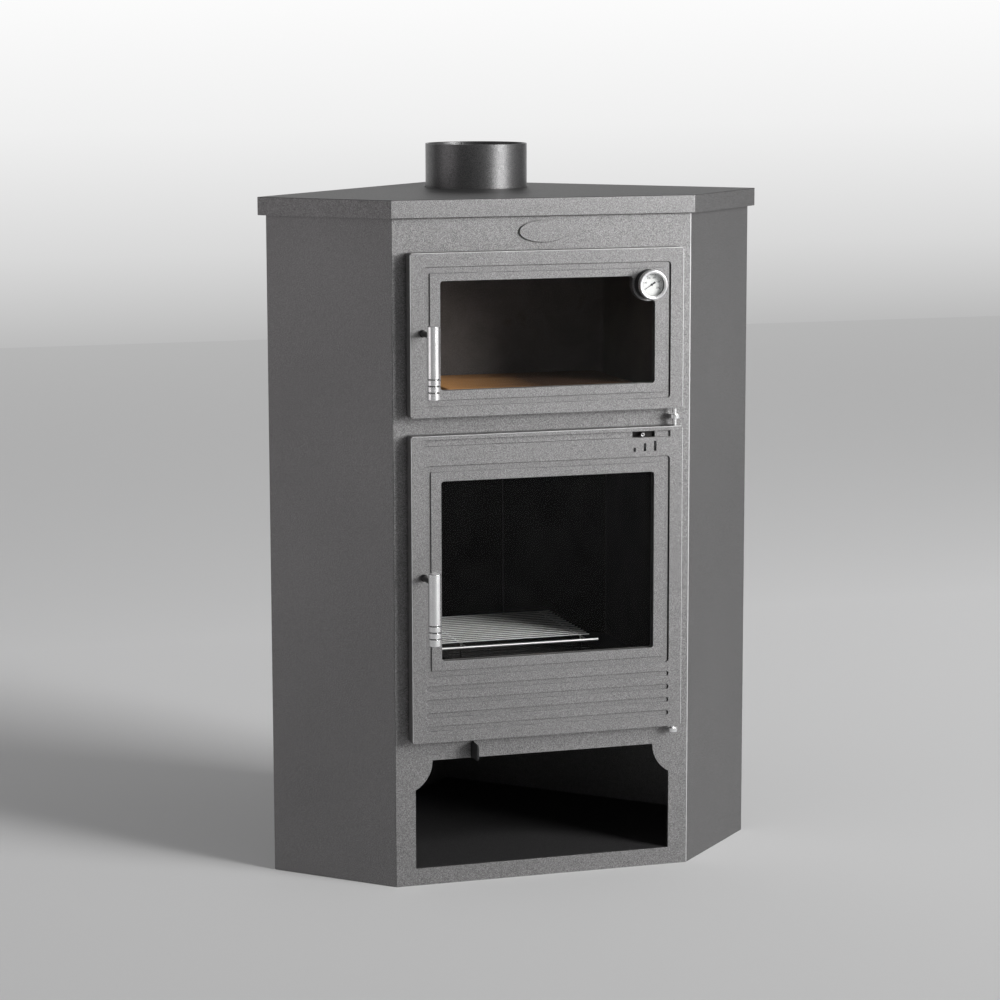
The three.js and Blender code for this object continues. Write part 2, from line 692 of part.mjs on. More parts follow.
function fireGrate() {
  const half = GRATE_WIDTH / 2;
  let grate = box(-half, half, GRATE_FRONT, GRATE_BACK, BED_TOP, GRATE_TOP);
  const span = GRATE_DEPTH - 2 * GRATE_BORDER;
  const pitch = (span + GRATE_SLOT) / GRATE_SLOTS;
  const inner = half - GRATE_BORDER;
  for (let slot = 0; slot < GRATE_SLOTS; slot += 1) {
    const front = GRATE_FRONT + GRATE_BORDER + slot * pitch;
    const back = front + pitch - GRATE_SLOT;
    grate = cut(grate, box(-inner, inner, front, back, BED_TOP - 1, GRATE_TOP + 1));
  }
  return grate;
}

add(stove, 'hearth_plate', hearthPlate(), RAW_STEEL);
add(stove, 'fire_grate', fireGrate(), CAST_IRON);

const BRICK_OUTER = bodyCorners(BODY_SHEET + SEAT);
const BRICK_INNER = bodyCorners(BODY_SHEET + SEAT + BRICK);
const brickCorner = (corners) => [[corners[0][0], BRICK_FRONT], ...corners.slice(1)];
const BRICK_FACES = [brickCorner(BRICK_OUTER), brickCorner(BRICK_INNER)];
const SIDE_BRICK = mitredSheet(...BRICK_FACES, 0, 1);
const ANGLED_BRICK = mitredSheet(...BRICK_FACES, 1, 2);
const REAR_BRICK = mitredSheet(...BRICK_FACES, 2, 3);
const BRICK_TOP = FIRE.top - BRICK_DROP;
const brick = (plan) => upright(plan, BED_TOP, BRICK_TOP);

add(stove, 'right_firebrick', brick(SIDE_BRICK), VERMICULITE);
add(stove, 'left_firebrick', brick(mirrored(SIDE_BRICK)), VERMICULITE);
add(stove, 'right_angled_firebrick', brick(ANGLED_BRICK), VERMICULITE);
add(stove, 'left_angled_firebrick', brick(mirrored(ANGLED_BRICK)), VERMICULITE);
add(stove, 'rear_firebrick', brick(REAR_BRICK), VERMICULITE);

const BAFFLE_BOTTOM = BRICK_TOP + SEAT;
const baffleOutline = bodyOutline(BODY_SHEET + SEAT, BAFFLE_FRONT);
const baffle = upright(baffleOutline, BAFFLE_BOTTOM, BAFFLE_BOTTOM + BAFFLE_THICKNESS);
add(stove, 'smoke_baffle', baffle, VERMICULITE);

function ashPan() {
  const half = PAN_WIDTH / 2;
  const bottom = FLOOR_TOP + SEAT;
  const top = bottom + PAN_HEIGHT;
  const back = PAN_FRONT + PAN_DEPTH;
  const tray = box(-half, half, PAN_FRONT, back, bottom, top);
  const inner = half - PAN_SHEET;
  const inside = box(-inner, inner, PAN_FRONT + PAN_SHEET, back - PAN_SHEET, bottom + PAN_SHEET, top + 1);
  const lip = box(-half / 3, half / 3, PAN_FRONT - PAN_FLARE, PAN_FRONT + PAN_SHEET, top - PAN_SHEET, top);
  return join(cut(tray, inside), lip);
}

add(stove, 'ash_pan', ashPan(), RAW_STEEL);

// ---------------------------------------------------------------- wire grill

function wireGrill() {
  const height = GRATE_TOP + GRILL_RISE;
  const wire = GRILL_WIRE / 2;
  const rod = GRILL_ROD / 2;
  const pieces = [
    rodX(GRILL_FRONT, height, rod, GRILL_LEFT, GRILL_RIGHT, 10),
    rodX(GRILL_BACK, height, rod, GRILL_LEFT, GRILL_RIGHT, 10),
  ];
  const pitch = (GRILL_BACK - GRILL_FRONT) / (GRILL_BARS + 1);
  for (let bar = 1; bar <= GRILL_BARS; bar += 1) {
    pieces.push(rodX(GRILL_FRONT + bar * pitch, height, wire, GRILL_LEFT, GRILL_RIGHT, 5));
  }
  for (const x of [GRILL_LEG_LEFT, GRILL_LEG_RIGHT]) {
    pieces.push(rodY(x, height - wire, wire, GRILL_FRONT, GRILL_BACK, 6));
  }
  for (const x of [GRILL_LEG_LEFT, GRILL_LEG_RIGHT]) {
    for (const y of [GRILL_LEG_FRONT, GRILL_LEG_BACK]) {
      pieces.push(rodZ(x, y, wire, GRATE_TOP + SEAT, height - wire, 6));
    }
  }
  return join(...pieces);
}

add(stove, 'wire_grill', wireGrill(), BRIGHT_STEEL);

// ---------------------------------------------------------------- oven box

const OVEN_OPENING_BOTTOM = OVEN.bottom + OPENING_INSET;
const OVEN_OPENING_TOP = OVEN.top - OPENING_INSET;
const OVEN_FLOOR_TOP = OVEN_OPENING_BOTTOM - OVEN_FLOOR_DROP;
const OVEN_ROOF_UNDER = OVEN_OPENING_TOP + OVEN_ROOF_RISE;
const OVEN_INSIDE = OPENING_RIGHT + OVEN_CLEAR;
const OVEN_OUTSIDE = OVEN_INSIDE + OVEN_SHEET;
const OVEN_BACK = BODY_FRONT + OVEN_DEPTH;

function ovenPlate(x0, x1, y0, y1, z0, z1, name) {
  add(stove, name, box(x0, x1, y0, y1, z0, z1), DARK_PAINT);
}

const ovenLow = OVEN_FLOOR_TOP + SEAT;
const ovenHigh = OVEN_ROOF_UNDER - SEAT;
const ovenRear = OVEN_BACK + SEAT;
ovenPlate(-OVEN_OUTSIDE, OVEN_OUTSIDE, BODY_FRONT, ovenRear + OVEN_SHEET,
  OVEN_FLOOR_TOP - OVEN_SHEET, OVEN_FLOOR_TOP, 'oven_floor');
ovenPlate(-OVEN_OUTSIDE, OVEN_OUTSIDE, BODY_FRONT, ovenRear + OVEN_SHEET,
  OVEN_ROOF_UNDER, OVEN_ROOF_UNDER + OVEN_SHEET, 'oven_roof');
ovenPlate(-OVEN_OUTSIDE, -OVEN_INSIDE, BODY_FRONT, OVEN_BACK, ovenLow, ovenHigh, 'oven_left_wall');
ovenPlate(OVEN_INSIDE, OVEN_OUTSIDE, BODY_FRONT, OVEN_BACK, ovenLow, ovenHigh, 'oven_right_wall');
ovenPlate(-OVEN_OUTSIDE, OVEN_OUTSIDE, ovenRear, ovenRear + OVEN_SHEET, ovenLow, ovenHigh, 'oven_back_wall');

function ovenStone() {
  const half = STONE_WIDTH / 2;
  const outline = roundedRect(-half, half, STONE_FRONT, STONE_FRONT + STONE_DEPTH, STONE_CORNER);
  const options = { depth: STONE_THICKNESS, bevelEnabled: false, curveSegments: 4 };
  const geometry = new THREE.ExtrudeGeometry(outline, options);
  geometry.translate(0, 0, OVEN_FLOOR_TOP + SEAT);
  return toSolid(geometry);
}

add(stove, 'oven_stone', ovenStone(), FIRE_STONE);

// ---------------------------------------------------------------- hinge brackets

// A flat bar that stands out of the front panel, with its pin through the round end.
function hingeBracket(bottom, pinLow, pinHigh) {
  const half = HINGE_PLATE_WIDTH / 2;
  const top = bottom + HINGE_PLATE;
  const bar = box(HINGE_X - half, HINGE_X + half, HINGE_Y, -SEAT, bottom, top);
  const end = rodZ(HINGE_X, HINGE_Y, half, bottom, top, 32);
  return join(bar, end, rodZ(HINGE_X, HINGE_Y, HINGE_PIN / 2, pinLow, pinHigh));
}

const UPPER_BRACKET = OVEN.top - UPPER_HINGE_DROP - HINGE_PLATE;
const MIDDLE_BRACKET = (OVEN.bottom + FIRE.top - HINGE_PLATE) / 2;
const LOWER_BRACKET = FIRE.bottom - LOWER_HINGE_DROP - HINGE_PLATE;
const upperPins = [UPPER_BRACKET - HINGE_PIN_DEPTH, UPPER_BRACKET + HINGE_PLATE + HINGE_PIN_DEPTH / 2];
const middlePins = [FIRE.top - HINGE_PIN_DEPTH, OVEN.bottom + HINGE_PIN_DEPTH];
const lowerPins = [LOWER_BRACKET, FIRE.bottom + HINGE_PIN_DEPTH];

add(stove, 'upper_hinge_bracket', hingeBracket(UPPER_BRACKET, ...upperPins), BLACK_STEEL);
add(stove, 'middle_hinge_bracket', hingeBracket(MIDDLE_BRACKET, ...middlePins), GREY_PAINT);
add(stove, 'lower_hinge_bracket', hingeBracket(LOWER_BRACKET, ...lowerPins), GREY_PAINT);

// The hole that a hinge pin turns in.
function pinHole([low, high]) {
  return rodZ(HINGE_X, HINGE_Y, HINGE_PIN / 2 + HINGE_CLEARANCE, low - 1, high + 1);
}

// ---------------------------------------------------------------- latch hooks

const POCKET_LEFT = DOOR_LEFT + LATCH_POCKET_WALL;
const POCKET_RIGHT = HANDLE_X + LATCH_POCKET_RIGHT;
const HOOK_LEFT = POCKET_LEFT + HOOK_CLEARANCE;
const HOOK_FRONT = DOOR_BACK - HOOK_REACH;
const CAM_FRONT = HOOK_FRONT + HOOK_SHEET + CAM_CLEARANCE;
const CAM_REAR = CAM_FRONT + CAM_THICKNESS;

// The fixed hook: a foot on the front panel, a leg, and a lip in front of the turned cam.
function latchHook(door) {
  const low = door.stem - HOOK_WIDTH / 2;
  const high = door.stem + HOOK_WIDTH / 2;
  const right = HOOK_LEFT + HOOK_LIP;
  const leg = box(HOOK_LEFT, HOOK_LEFT + HOOK_SHEET, HOOK_FRONT, -SEAT, low, high);
  const lip = box(HOOK_LEFT, right, HOOK_FRONT, HOOK_FRONT + HOOK_SHEET, low, high);
  const foot = box(HOOK_LEFT, right, -SEAT - HOOK_FOOT, -SEAT, low - HOOK_FOOT, high + HOOK_FOOT);
  return join(leg, lip, foot);
}

function latchPocket(door) {
  const low = door.stem - CAM_LENGTH - LATCH_POCKET_SPARE;
  const high = door.stem + HOOK_WIDTH / 2 + LATCH_POCKET_SPARE;
  return box(POCKET_LEFT, POCKET_RIGHT, DOOR_BACK - LATCH_POCKET, DOOR_BACK + 1, low, high);
}

add(stove, 'oven_latch_hook', latchHook(OVEN), BRIGHT_STEEL);
add(stove, 'fire_latch_hook', latchHook(FIRE), BRIGHT_STEEL);

// ---------------------------------------------------------------- primary air slider

const SLIDER_TOP = NICHE_ROOF_UNDER - SEAT;
const SLIDER_UNDER = SLIDER_TOP - SLIDER_SHEET;
const primaryAir = assembly(stove, TAB_X, 0, SLIDER_UNDER);

function primarySlider() {
  const half = SLIDER_WIDTH / 2;
  const back = SLIDER_FRONT + SLIDER_LENGTH;
  const plate = box(TAB_X - half, TAB_X + half, SLIDER_FRONT, back, SLIDER_UNDER, SLIDER_TOP);
  const port = rodZ(TAB_X, SLIDER_PORT_Y, SLIDER_PORT, SLIDER_UNDER - 1, SLIDER_TOP + 1);
  const shape = new THREE.Shape();
  const low = NICHE_TOP + TAB_CLEARANCE;
  shape.moveTo(-TAB_PROUD, low + 3);
  shape.lineTo(-TAB_PROUD + 3, low);
  shape.lineTo(SLIDER_FRONT + FIN_LENGTH, low);
  shape.lineTo(SLIDER_FRONT + FIN_LENGTH, SLIDER_UNDER + 1);
  shape.lineTo(SLIDER_FRONT + 1, SLIDER_UNDER + 1);
  shape.lineTo(SLIDER_FRONT + 1, TAB_TOP);
  shape.lineTo(-TAB_PROUD + 4, TAB_TOP);
  shape.lineTo(-TAB_PROUD, TAB_TOP - 4);
  const options = { depth: TAB_THICKNESS, bevelEnabled: false };
  const geometry = new THREE.ExtrudeGeometry(shape, options);
  geometry.rotateX(QUARTER);
  geometry.rotateZ(QUARTER);
  geometry.translate(TAB_X - TAB_THICKNESS / 2, 0, 0);
  return join(cut(plate, port), toSolid(geometry));
}

add(primaryAir, 'primary_air_slider', primarySlider(), BLACK_STEEL);

function sliderGuide() {
  const half = SLIDER_WIDTH / 2 + SEAT;
  const back = GUIDE_START + GUIDE_LENGTH;
  const floor = SLIDER_UNDER - SEAT;
  const low = floor - GUIDE_SHEET;
  const outer = half + GUIDE_SHEET;
  const channel = box(TAB_X - outer, TAB_X + outer, GUIDE_START, back, low, SLIDER_TOP);
  return cut(channel, box(TAB_X - half, TAB_X + half, GUIDE_START - 1, back + 1, floor, SLIDER_TOP + 1));
}

add(stove, 'air_slider_guide', sliderGuide(), RAW_STEEL);

// ---------------------------------------------------------------- door building blocks

// A frame-shaped groove or rebate round the window of a door.
function ring(x0, x1, z0, z1, width, radius, yFront, yBack) {
  const outer = slab(x0, x1, z0, z1, radius, yFront, yBack);
  const innerRadius = Math.max(radius - width, 1);
  const inner = slab(x0 + width, x1 - width, z0 + width, z1 - width, innerRadius, yFront - 1, yBack + 1);
  return cut(outer, inner);
}

function doorBlank(door) {
  const blank = slab(DOOR_LEFT, DOOR_RIGHT, door.bottom, door.top, DOOR_CORNER, DOOR_FACE, DOOR_BACK);
  const chamfer = [
    [DOOR_RIGHT - DOOR_EDGE_CHAMFER, DOOR_BACK + 1],
    [DOOR_RIGHT - DOOR_EDGE_CHAMFER, DOOR_BACK],
    [DOOR_RIGHT, DOOR_BACK - DOOR_EDGE_CHAMFER],
    [DOOR_RIGHT + 1, DOOR_BACK - DOOR_EDGE_CHAMFER],
    [DOOR_RIGHT + 1, DOOR_BACK + 1],
  ];
  return cut(blank, upright(chamfer, door.bottom - 1, door.top + 1));
}

function ropeGroove(door, width, yFront, yBack) {
  const inset = ROPE_INSET - width / 2;
  return ring(DOOR_LEFT + inset, DOOR_RIGHT - inset, door.bottom + inset, door.top - inset,
    width, DOOR_CORNER * 2 + width, yFront, yBack);
}

function sealingRope(door) {
  return ropeGroove(door, ROPE_WIDTH - 2 * SEAT, DOOR_BACK - ROPE_GROOVE + SEAT, -SEAT);
}

// A window whose upper right corner goes round the thermometer's boss, with a rounded corner
// where the boss meets the right side and one where it meets the upper side.
function notchedWindow(x0, x1, z0, z1, boss) {
  const corner = WINDOW_CORNER;
  const sideX = x1 - corner;
  const sideZ = DIAL_Z - Math.sqrt((boss + corner) ** 2 - (sideX - DIAL_X) ** 2);
  const topZ = z1 - corner;
  const topX = DIAL_X - Math.sqrt((boss + corner) ** 2 - (topZ - DIAL_Z) ** 2);
  const sideTurn = Math.atan2(DIAL_Z - sideZ, DIAL_X - sideX);
  const topTurn = Math.atan2(DIAL_Z - topZ, DIAL_X - topX);
  const shape = new THREE.Shape();
  shape.moveTo(x0 + corner, z0);
  shape.lineTo(x1 - corner, z0);
  shape.absarc(x1 - corner, z0 + corner, corner, -QUARTER, 0, false);
  shape.lineTo(x1, sideZ);
  shape.absarc(sideX, sideZ, corner, 0, sideTurn, false);
  shape.absarc(DIAL_X, DIAL_Z, boss, sideTurn + Math.PI, topTurn + Math.PI, true);
  shape.absarc(topX, topZ, corner, topTurn, QUARTER, false);
  shape.lineTo(x0 + corner, z1);
  shape.absarc(x0 + corner, z1 - corner, corner, QUARTER, 2 * QUARTER, false);
  shape.lineTo(x0, z0 + corner);
  shape.absarc(x0 + corner, z0 + corner, corner, 2 * QUARTER, 3 * QUARTER, false);
  return shape;
}

// The window's outline grown by a margin; the oven window goes round the thermometer.
function windowBlock(door, margin, yFront, yBack) {
  const x0 = DOOR_LEFT + WINDOW_SIDE - margin;
  const x1 = DOOR_RIGHT - WINDOW_SIDE + margin;
  const z0 = door.windowBottom - margin;
  const z1 = door.windowTop + margin;
  if (door !== OVEN) return slab(x0, x1, z0, z1, WINDOW_CORNER, yFront, yBack);
  return frontal(notchedWindow(x0, x1, z0, z1, BOSS_RADIUS - margin * BOSS_SHARE), yFront, yBack, 8);
}

const BOSS_SHARE = 0.8; // how far the glass goes behind the lip at the thermometer
const GLASS_FRONT = DOOR_FACE + FRAME_LIP + SEAT;
const GLASS_REAR = GLASS_FRONT + GLASS_THICKNESS;
const RETAINER_FRONT = GLASS_REAR + SEAT;
const REBATE_FRONT = DOOR_FACE + FRAME_LIP;

function windowCuts(door) {
  const opening = windowBlock(door, 0, DOOR_FACE - 1, DOOR_BACK + 1);
  const rebate = windowBlock(door, GLASS_LAP, REBATE_FRONT, DOOR_BACK + 1);
  return [opening, rebate];
}

const glass = (door) => windowBlock(door, GLASS_LAP - SEAT, GLASS_FRONT, GLASS_REAR);

function retainer(door) {
  const rear = RETAINER_FRONT + RETAINER_THICKNESS;
  const outer = windowBlock(door, GLASS_LAP - SEAT, RETAINER_FRONT, rear);
  const inner = windowBlock(door, GLASS_LAP - RETAINER_WIDTH, RETAINER_FRONT - 1, rear + 1);
  return cut(outer, inner);
}

const shaftHole = (door) =>
  rodY(HANDLE_X, door.stem, SHAFT_DIAMETER / 2 + HINGE_CLEARANCE, DOOR_FACE - 1, DOOR_BACK + 1);

// ---------------------------------------------------------------- handles and latches

// A bright round grip on a black stem; the shaft runs through the door to the latch cam.
function addHandle(parent, door, name) {
  const group = assembly(parent, HANDLE_X, DOOR_FACE, door.stem);
  const axisY = DOOR_FACE - GRIP_STANDOFF;
  const gripTop = door.stem + GRIP_ABOVE_STEM;
  const gripBottom = gripTop - GRIP_LENGTH;
  const radius = GRIP_DIAMETER / 2;

  const profile = [[0, gripBottom], [radius - GRIP_CHAMFER, gripBottom], [radius, gripBottom + GRIP_CHAMFER]];
  for (let groove = 0; groove < GRIP_GROOVES; groove += 1) {
    const low = gripBottom + GRIP_GROOVE_FIRST + groove * GRIP_GROOVE_PITCH - GRIP_GROOVE_WIDTH / 2;
    const high = low + GRIP_GROOVE_WIDTH;
    const deep = radius - GRIP_GROOVE_DEPTH;
    profile.push([radius, low], [deep, low + 0.2], [deep, high - 0.2], [radius, high]);
  }
  profile.push([radius, gripTop - GRIP_CHAMFER], [radius - GRIP_CHAMFER, gripTop], [0, gripTop]);
  add(group, `${name}_handle_grip`, turned(profile, HANDLE_X, axisY, 20), BRIGHT_STEEL);

  const face = DOOR_FACE - SEAT;
  const neck = rodY(HANDLE_X, door.stem, STEM_DIAMETER / 2, axisY, face, 24);
  const foot = rodY(HANDLE_X, door.stem, STEM_FOOT_DIAMETER / 2, face - STEM_FOOT_LENGTH, face, 24);
  const shaft = rodY(HANDLE_X, door.stem, SHAFT_DIAMETER / 2, face - 1, CAM_REAR + SEAT, 24);
  const seatOfGrip = rodZ(HANDLE_X, axisY, radius + SEAT, gripBottom - 1, gripTop + 1, 20);
  add(group, `${name}_handle_stem`, cut(join(neck, foot, shaft), seatOfGrip), BLACK_STEEL);

  const half = CAM_WIDTH / 2;
  const tip = door.stem - CAM_LENGTH;
  const hub = rodY(HANDLE_X, door.stem, CAM_HUB / 2, CAM_FRONT, CAM_REAR, 24);
  const tongue = box(HANDLE_X - half, HANDLE_X + half, CAM_FRONT, CAM_REAR, tip, door.stem);
  const bore = rodY(HANDLE_X, door.stem, SHAFT_DIAMETER / 2 + SEAT, CAM_FRONT - 1, CAM_REAR + 1, 24);
  add(group, `${name}_latch_cam`, cut(join(hub, tongue), bore), RAW_STEEL);
}

// ---------------------------------------------------------------- oven door

const ovenDoor = assembly(stove, HINGE_X, HINGE_Y, OVEN.bottom);

function ovenDoorFrame() {
  const left = DOOR_LEFT + GROOVE_INSET;
  const groove = ring(left, -left, OVEN.bottom + OVEN_GROOVE_RISE, OVEN.top - GROOVE_INSET,
    GROOVE_WIDTH, GROOVE_CORNER, DOOR_FACE - 1, DOOR_FACE + GROOVE_DEPTH);
  const kerfLow = UPPER_BRACKET - (HINGE_KERF - HINGE_PLATE) / 2;
  const kerf = box(HINGE_X - HINGE_PLATE_WIDTH / 2 - 1, DOOR_RIGHT + 1,
    DOOR_FACE + HINGE_KERF_SKIN, DOOR_BACK + 1, kerfLow, kerfLow + HINGE_KERF);
  const probeHole = rodY(DIAL_X, DIAL_Z, PROBE_DIAMETER / 2 + SEAT, DOOR_FACE - 1, DOOR_BACK + 1, 20);
  return cut(doorBlank(OVEN), ...windowCuts(OVEN), groove,
    ropeGroove(OVEN, ROPE_WIDTH, DOOR_BACK - ROPE_GROOVE, DOOR_BACK + 1),
    kerf, pinHole(upperPins), pinHole(middlePins), probeHole, shaftHole(OVEN), latchPocket(OVEN));
}

add(ovenDoor, 'oven_door_frame', ovenDoorFrame(), GREY_PAINT);
add(ovenDoor, 'oven_door_glass', glass(OVEN), DARK_GLASS);
add(ovenDoor, 'oven_glass_retainer', retainer(OVEN), RAW_STEEL);
add(ovenDoor, 'oven_door_rope', sealingRope(OVEN), ROPE_GREY);
addHandle(ovenDoor, OVEN, 'oven');

// ---------------------------------------------------------------- thermometer

const CASE_REAR = DOOR_FACE - SEAT;
const CASE_MOUTH = CASE_REAR - CASE_LENGTH;
const CASE_FLOOR = CASE_REAR - CASE_BACK;
const DIAL_REAR = CASE_FLOOR - SEAT;
const DIAL_FACE = DIAL_REAR - DIAL_THICKNESS;
const BEZEL_FRONT = CASE_MOUTH - BEZEL_LENGTH + BEZEL_LIP;
const LENS_FRONT = BEZEL_FRONT + BEZEL_LIP + SEAT;
const LENS_REAR = LENS_FRONT + LENS_THICKNESS;
const disc = (radius, y0, y1, sides = 32) => rodY(DIAL_X, DIAL_Z, radius, y0, y1, sides);

function thermometerCase() {
  const barrel = disc(CASE_RADIUS, LENS_REAR + SEAT, CASE_REAR);
  const inside = disc(CASE_RADIUS - CASE_WALL, LENS_REAR - 1, CASE_FLOOR);
  const flange = disc(BEZEL_RADIUS, CASE_REAR - CASE_WALL, CASE_REAR);
  const probe = disc(PROBE_DIAMETER / 2, CASE_REAR - 1, PROBE_REACH, 20);
  return join(cut(barrel, inside), flange, probe);
}

function thermometerBezel() {
  const skirtRear = BEZEL_FRONT + BEZEL_LENGTH;
  const skirt = disc(BEZEL_RADIUS, BEZEL_FRONT, skirtRear);
  const bore = disc(CASE_RADIUS + SEAT, BEZEL_FRONT + BEZEL_LIP, skirtRear + 1);
  return cut(skirt, bore, disc(BEZEL_OPENING, BEZEL_FRONT - 1, skirtRear));
}

add(ovenDoor, 'thermometer_case', thermometerCase(), BLACK_STEEL);
add(ovenDoor, 'thermometer_bezel', thermometerBezel(), BRIGHT_STEEL);
add(ovenDoor, 'thermometer_dial', disc(CASE_RADIUS - CASE_WALL - SEAT, DIAL_FACE, DIAL_REAR), DIAL_WHITE);
add(ovenDoor, 'thermometer_lens', disc(CASE_RADIUS, LENS_FRONT, LENS_REAR), CLEAR_GLASS);

const needleTurn = assembly(ovenDoor, DIAL_X, DIAL_FACE, DIAL_Z);

function thermometerNeedle() {
  const rear = DIAL_FACE - SEAT;
  const front = rear - NEEDLE_THICKNESS;
  const shape = new THREE.Shape();
  shape.moveTo(NEEDLE_TAIL, -1.1);
  shape.lineTo(NEEDLE_TAIL, 1.1);
  shape.lineTo(0, 0.8);
  shape.lineTo(-NEEDLE_LENGTH, 0.25);
  shape.lineTo(-NEEDLE_LENGTH, -0.25);
  shape.lineTo(0, -0.8);
  const geometry = new THREE.ExtrudeGeometry(shape, { depth: rear - front, bevelEnabled: false });
  geometry.rotateX(QUARTER);
  geometry.rotateY(-THREE.MathUtils.degToRad(NEEDLE_REST));
  geometry.translate(DIAL_X, rear, DIAL_Z);
  return join(toSolid(geometry), disc(1.8, front - SEAT, rear, 16));
}

add(needleTurn, 'thermometer_needle', thermometerNeedle(), BLACK_STEEL);

// ---------------------------------------------------------------- fire door

const fireDoor = assembly(stove, HINGE_X, HINGE_Y, FIRE.bottom);
const SLOT_Z = FIRE.top - AIR_SLOT_DROP;
const WINDOW_RIGHT = DOOR_RIGHT - AIR_WINDOW_RIGHT;
const WINDOW_LEFT = WINDOW_RIGHT - AIR_WINDOW_LENGTH;
const PIN_X = WINDOW_LEFT + AIR_PIN_FROM_WINDOW;
const SLOT_FLOOR = DOOR_FACE + AIR_SLOT_DEPTH;
const POCKET_FRONT = SLOT_FLOOR + AIR_WEB;

// The engraved lines that show how far the air slide stands open.
function settingMarks() {
  const low = FIRE.top - MARK_DROP;
  return MARK_HEIGHTS.map((height, index) => {
    const x = WINDOW_LEFT + 2.3 + index * MARK_PITCH;
    const half = MARK_WIDTH / 2;
    return box(x - half, x + half, DOOR_FACE - 1, DOOR_FACE + MARK_DEPTH, low, low + height);
  });
}

function ribGrooves() {
  const left = DOOR_LEFT + GROOVE_INSET;
  const half = RIB_GROOVE_HEIGHT / 2;
  return Array.from({ length: RIB_GROOVES }, (_, index) => {
    const z = FIRE.bottom + RIB_GROOVE_FIRST + index * RIB_GROOVE_PITCH;
    return slab(left, -left, z - half, z + half, half * 0.98, DOOR_FACE - 1, DOOR_FACE + GROOVE_DEPTH);
  });
}

function airSlotCuts() {
  const half = AIR_SLOT_HEIGHT / 2;
  const left = DOOR_LEFT + GROOVE_INSET - 0.5;
  const slot = box(left, -left, DOOR_FACE - 1, SLOT_FLOOR, SLOT_Z - half, SLOT_Z + half);
  const low = SLOT_Z - half;
  const high = SLOT_Z + half;
  const window = box(WINDOW_LEFT, WINDOW_RIGHT, DOOR_FACE - 1, POCKET_FRONT + 1, low, high);
  const tall = AIR_PLATE_HEIGHT / 2 + SEAT * 2;
  const pocketLeft = WINDOW_LEFT - AIR_PLATE_LENGTH / 2;
  const pocketRight = WINDOW_RIGHT + AIR_PLATE_LENGTH / 2;
  const pocket = box(pocketLeft, pocketRight, POCKET_FRONT, DOOR_BACK + 1, SLOT_Z - tall, SLOT_Z + tall);
  return [slot, window, pocket];
}

function fireDoorFrame() {
  const left = DOOR_LEFT + GROOVE_INSET;
  const groove = ring(left, -left, FIRE.bottom + FIRE_GROOVE_RISE, FIRE.top - FIRE_GROOVE_DROP,
    GROOVE_WIDTH, GROOVE_CORNER, DOOR_FACE - 1, DOOR_FACE + GROOVE_DEPTH);
  return cut(doorBlank(FIRE), ...windowCuts(FIRE), groove,
    ropeGroove(FIRE, ROPE_WIDTH, DOOR_BACK - ROPE_GROOVE, DOOR_BACK + 1),
    ...settingMarks(), ...ribGrooves(), ...airSlotCuts(),
    pinHole(middlePins), pinHole(lowerPins), shaftHole(FIRE), latchPocket(FIRE));
}

add(fireDoor, 'fire_door_frame', fireDoorFrame(), GREY_PAINT);
add(fireDoor, 'fire_door_glass', glass(FIRE), DARK_GLASS);
add(fireDoor, 'fire_glass_retainer', retainer(FIRE), RAW_STEEL);
add(fireDoor, 'fire_door_rope', sealingRope(FIRE), ROPE_GREY);
addHandle(fireDoor, FIRE, 'fire');

const airSlide = assembly(fireDoor, PIN_X, POCKET_FRONT, SLOT_Z);

function secondaryAirSlide() {
  const half = AIR_PLATE_LENGTH / 2;
  const tall = AIR_PLATE_HEIGHT / 2;
  const front = POCKET_FRONT + SEAT;
  const plate = box(PIN_X - half, PIN_X + half, front, front + AIR_PLATE_SHEET, SLOT_Z - tall, SLOT_Z + tall);
  const pin = rodY(PIN_X, SLOT_Z, AIR_PIN_DIAMETER / 2, DOOR_FACE - AIR_PIN_PROUD, front + 1, 20);
  return join(plate, pin);
}

add(airSlide, 'secondary_air_slide', secondaryAirSlide(), RAW_STEEL);

// ---------------------------------------------------------------- origin

const FRONT_REACH = DOOR_FACE - GRIP_STANDOFF - GRIP_DIAMETER / 2;
const BACK_REACH = BACK_SUM + LID_BACK_OVERHANG * DIAGONAL;
stove.position.y = -(FRONT_REACH + BACK_REACH) / 2;

export default stove;
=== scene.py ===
# %% [markdown]
# # A corner wood cookstove, dressed for the camera
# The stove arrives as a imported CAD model: every sheet, rod and door is in its real place, and the doors,
# handles and air slides already know how they move. This notebook adds what a CAD solid can't show: the
# speckled paint, rolled edges, spun tubes, ropes, the printed dial, glass, screws and the light. The CAD
# model is the frame. Nothing in it is moved, and each new piece takes its place from it.

import json
import math

import bmesh
import bpy
from mathutils import Matrix, Vector


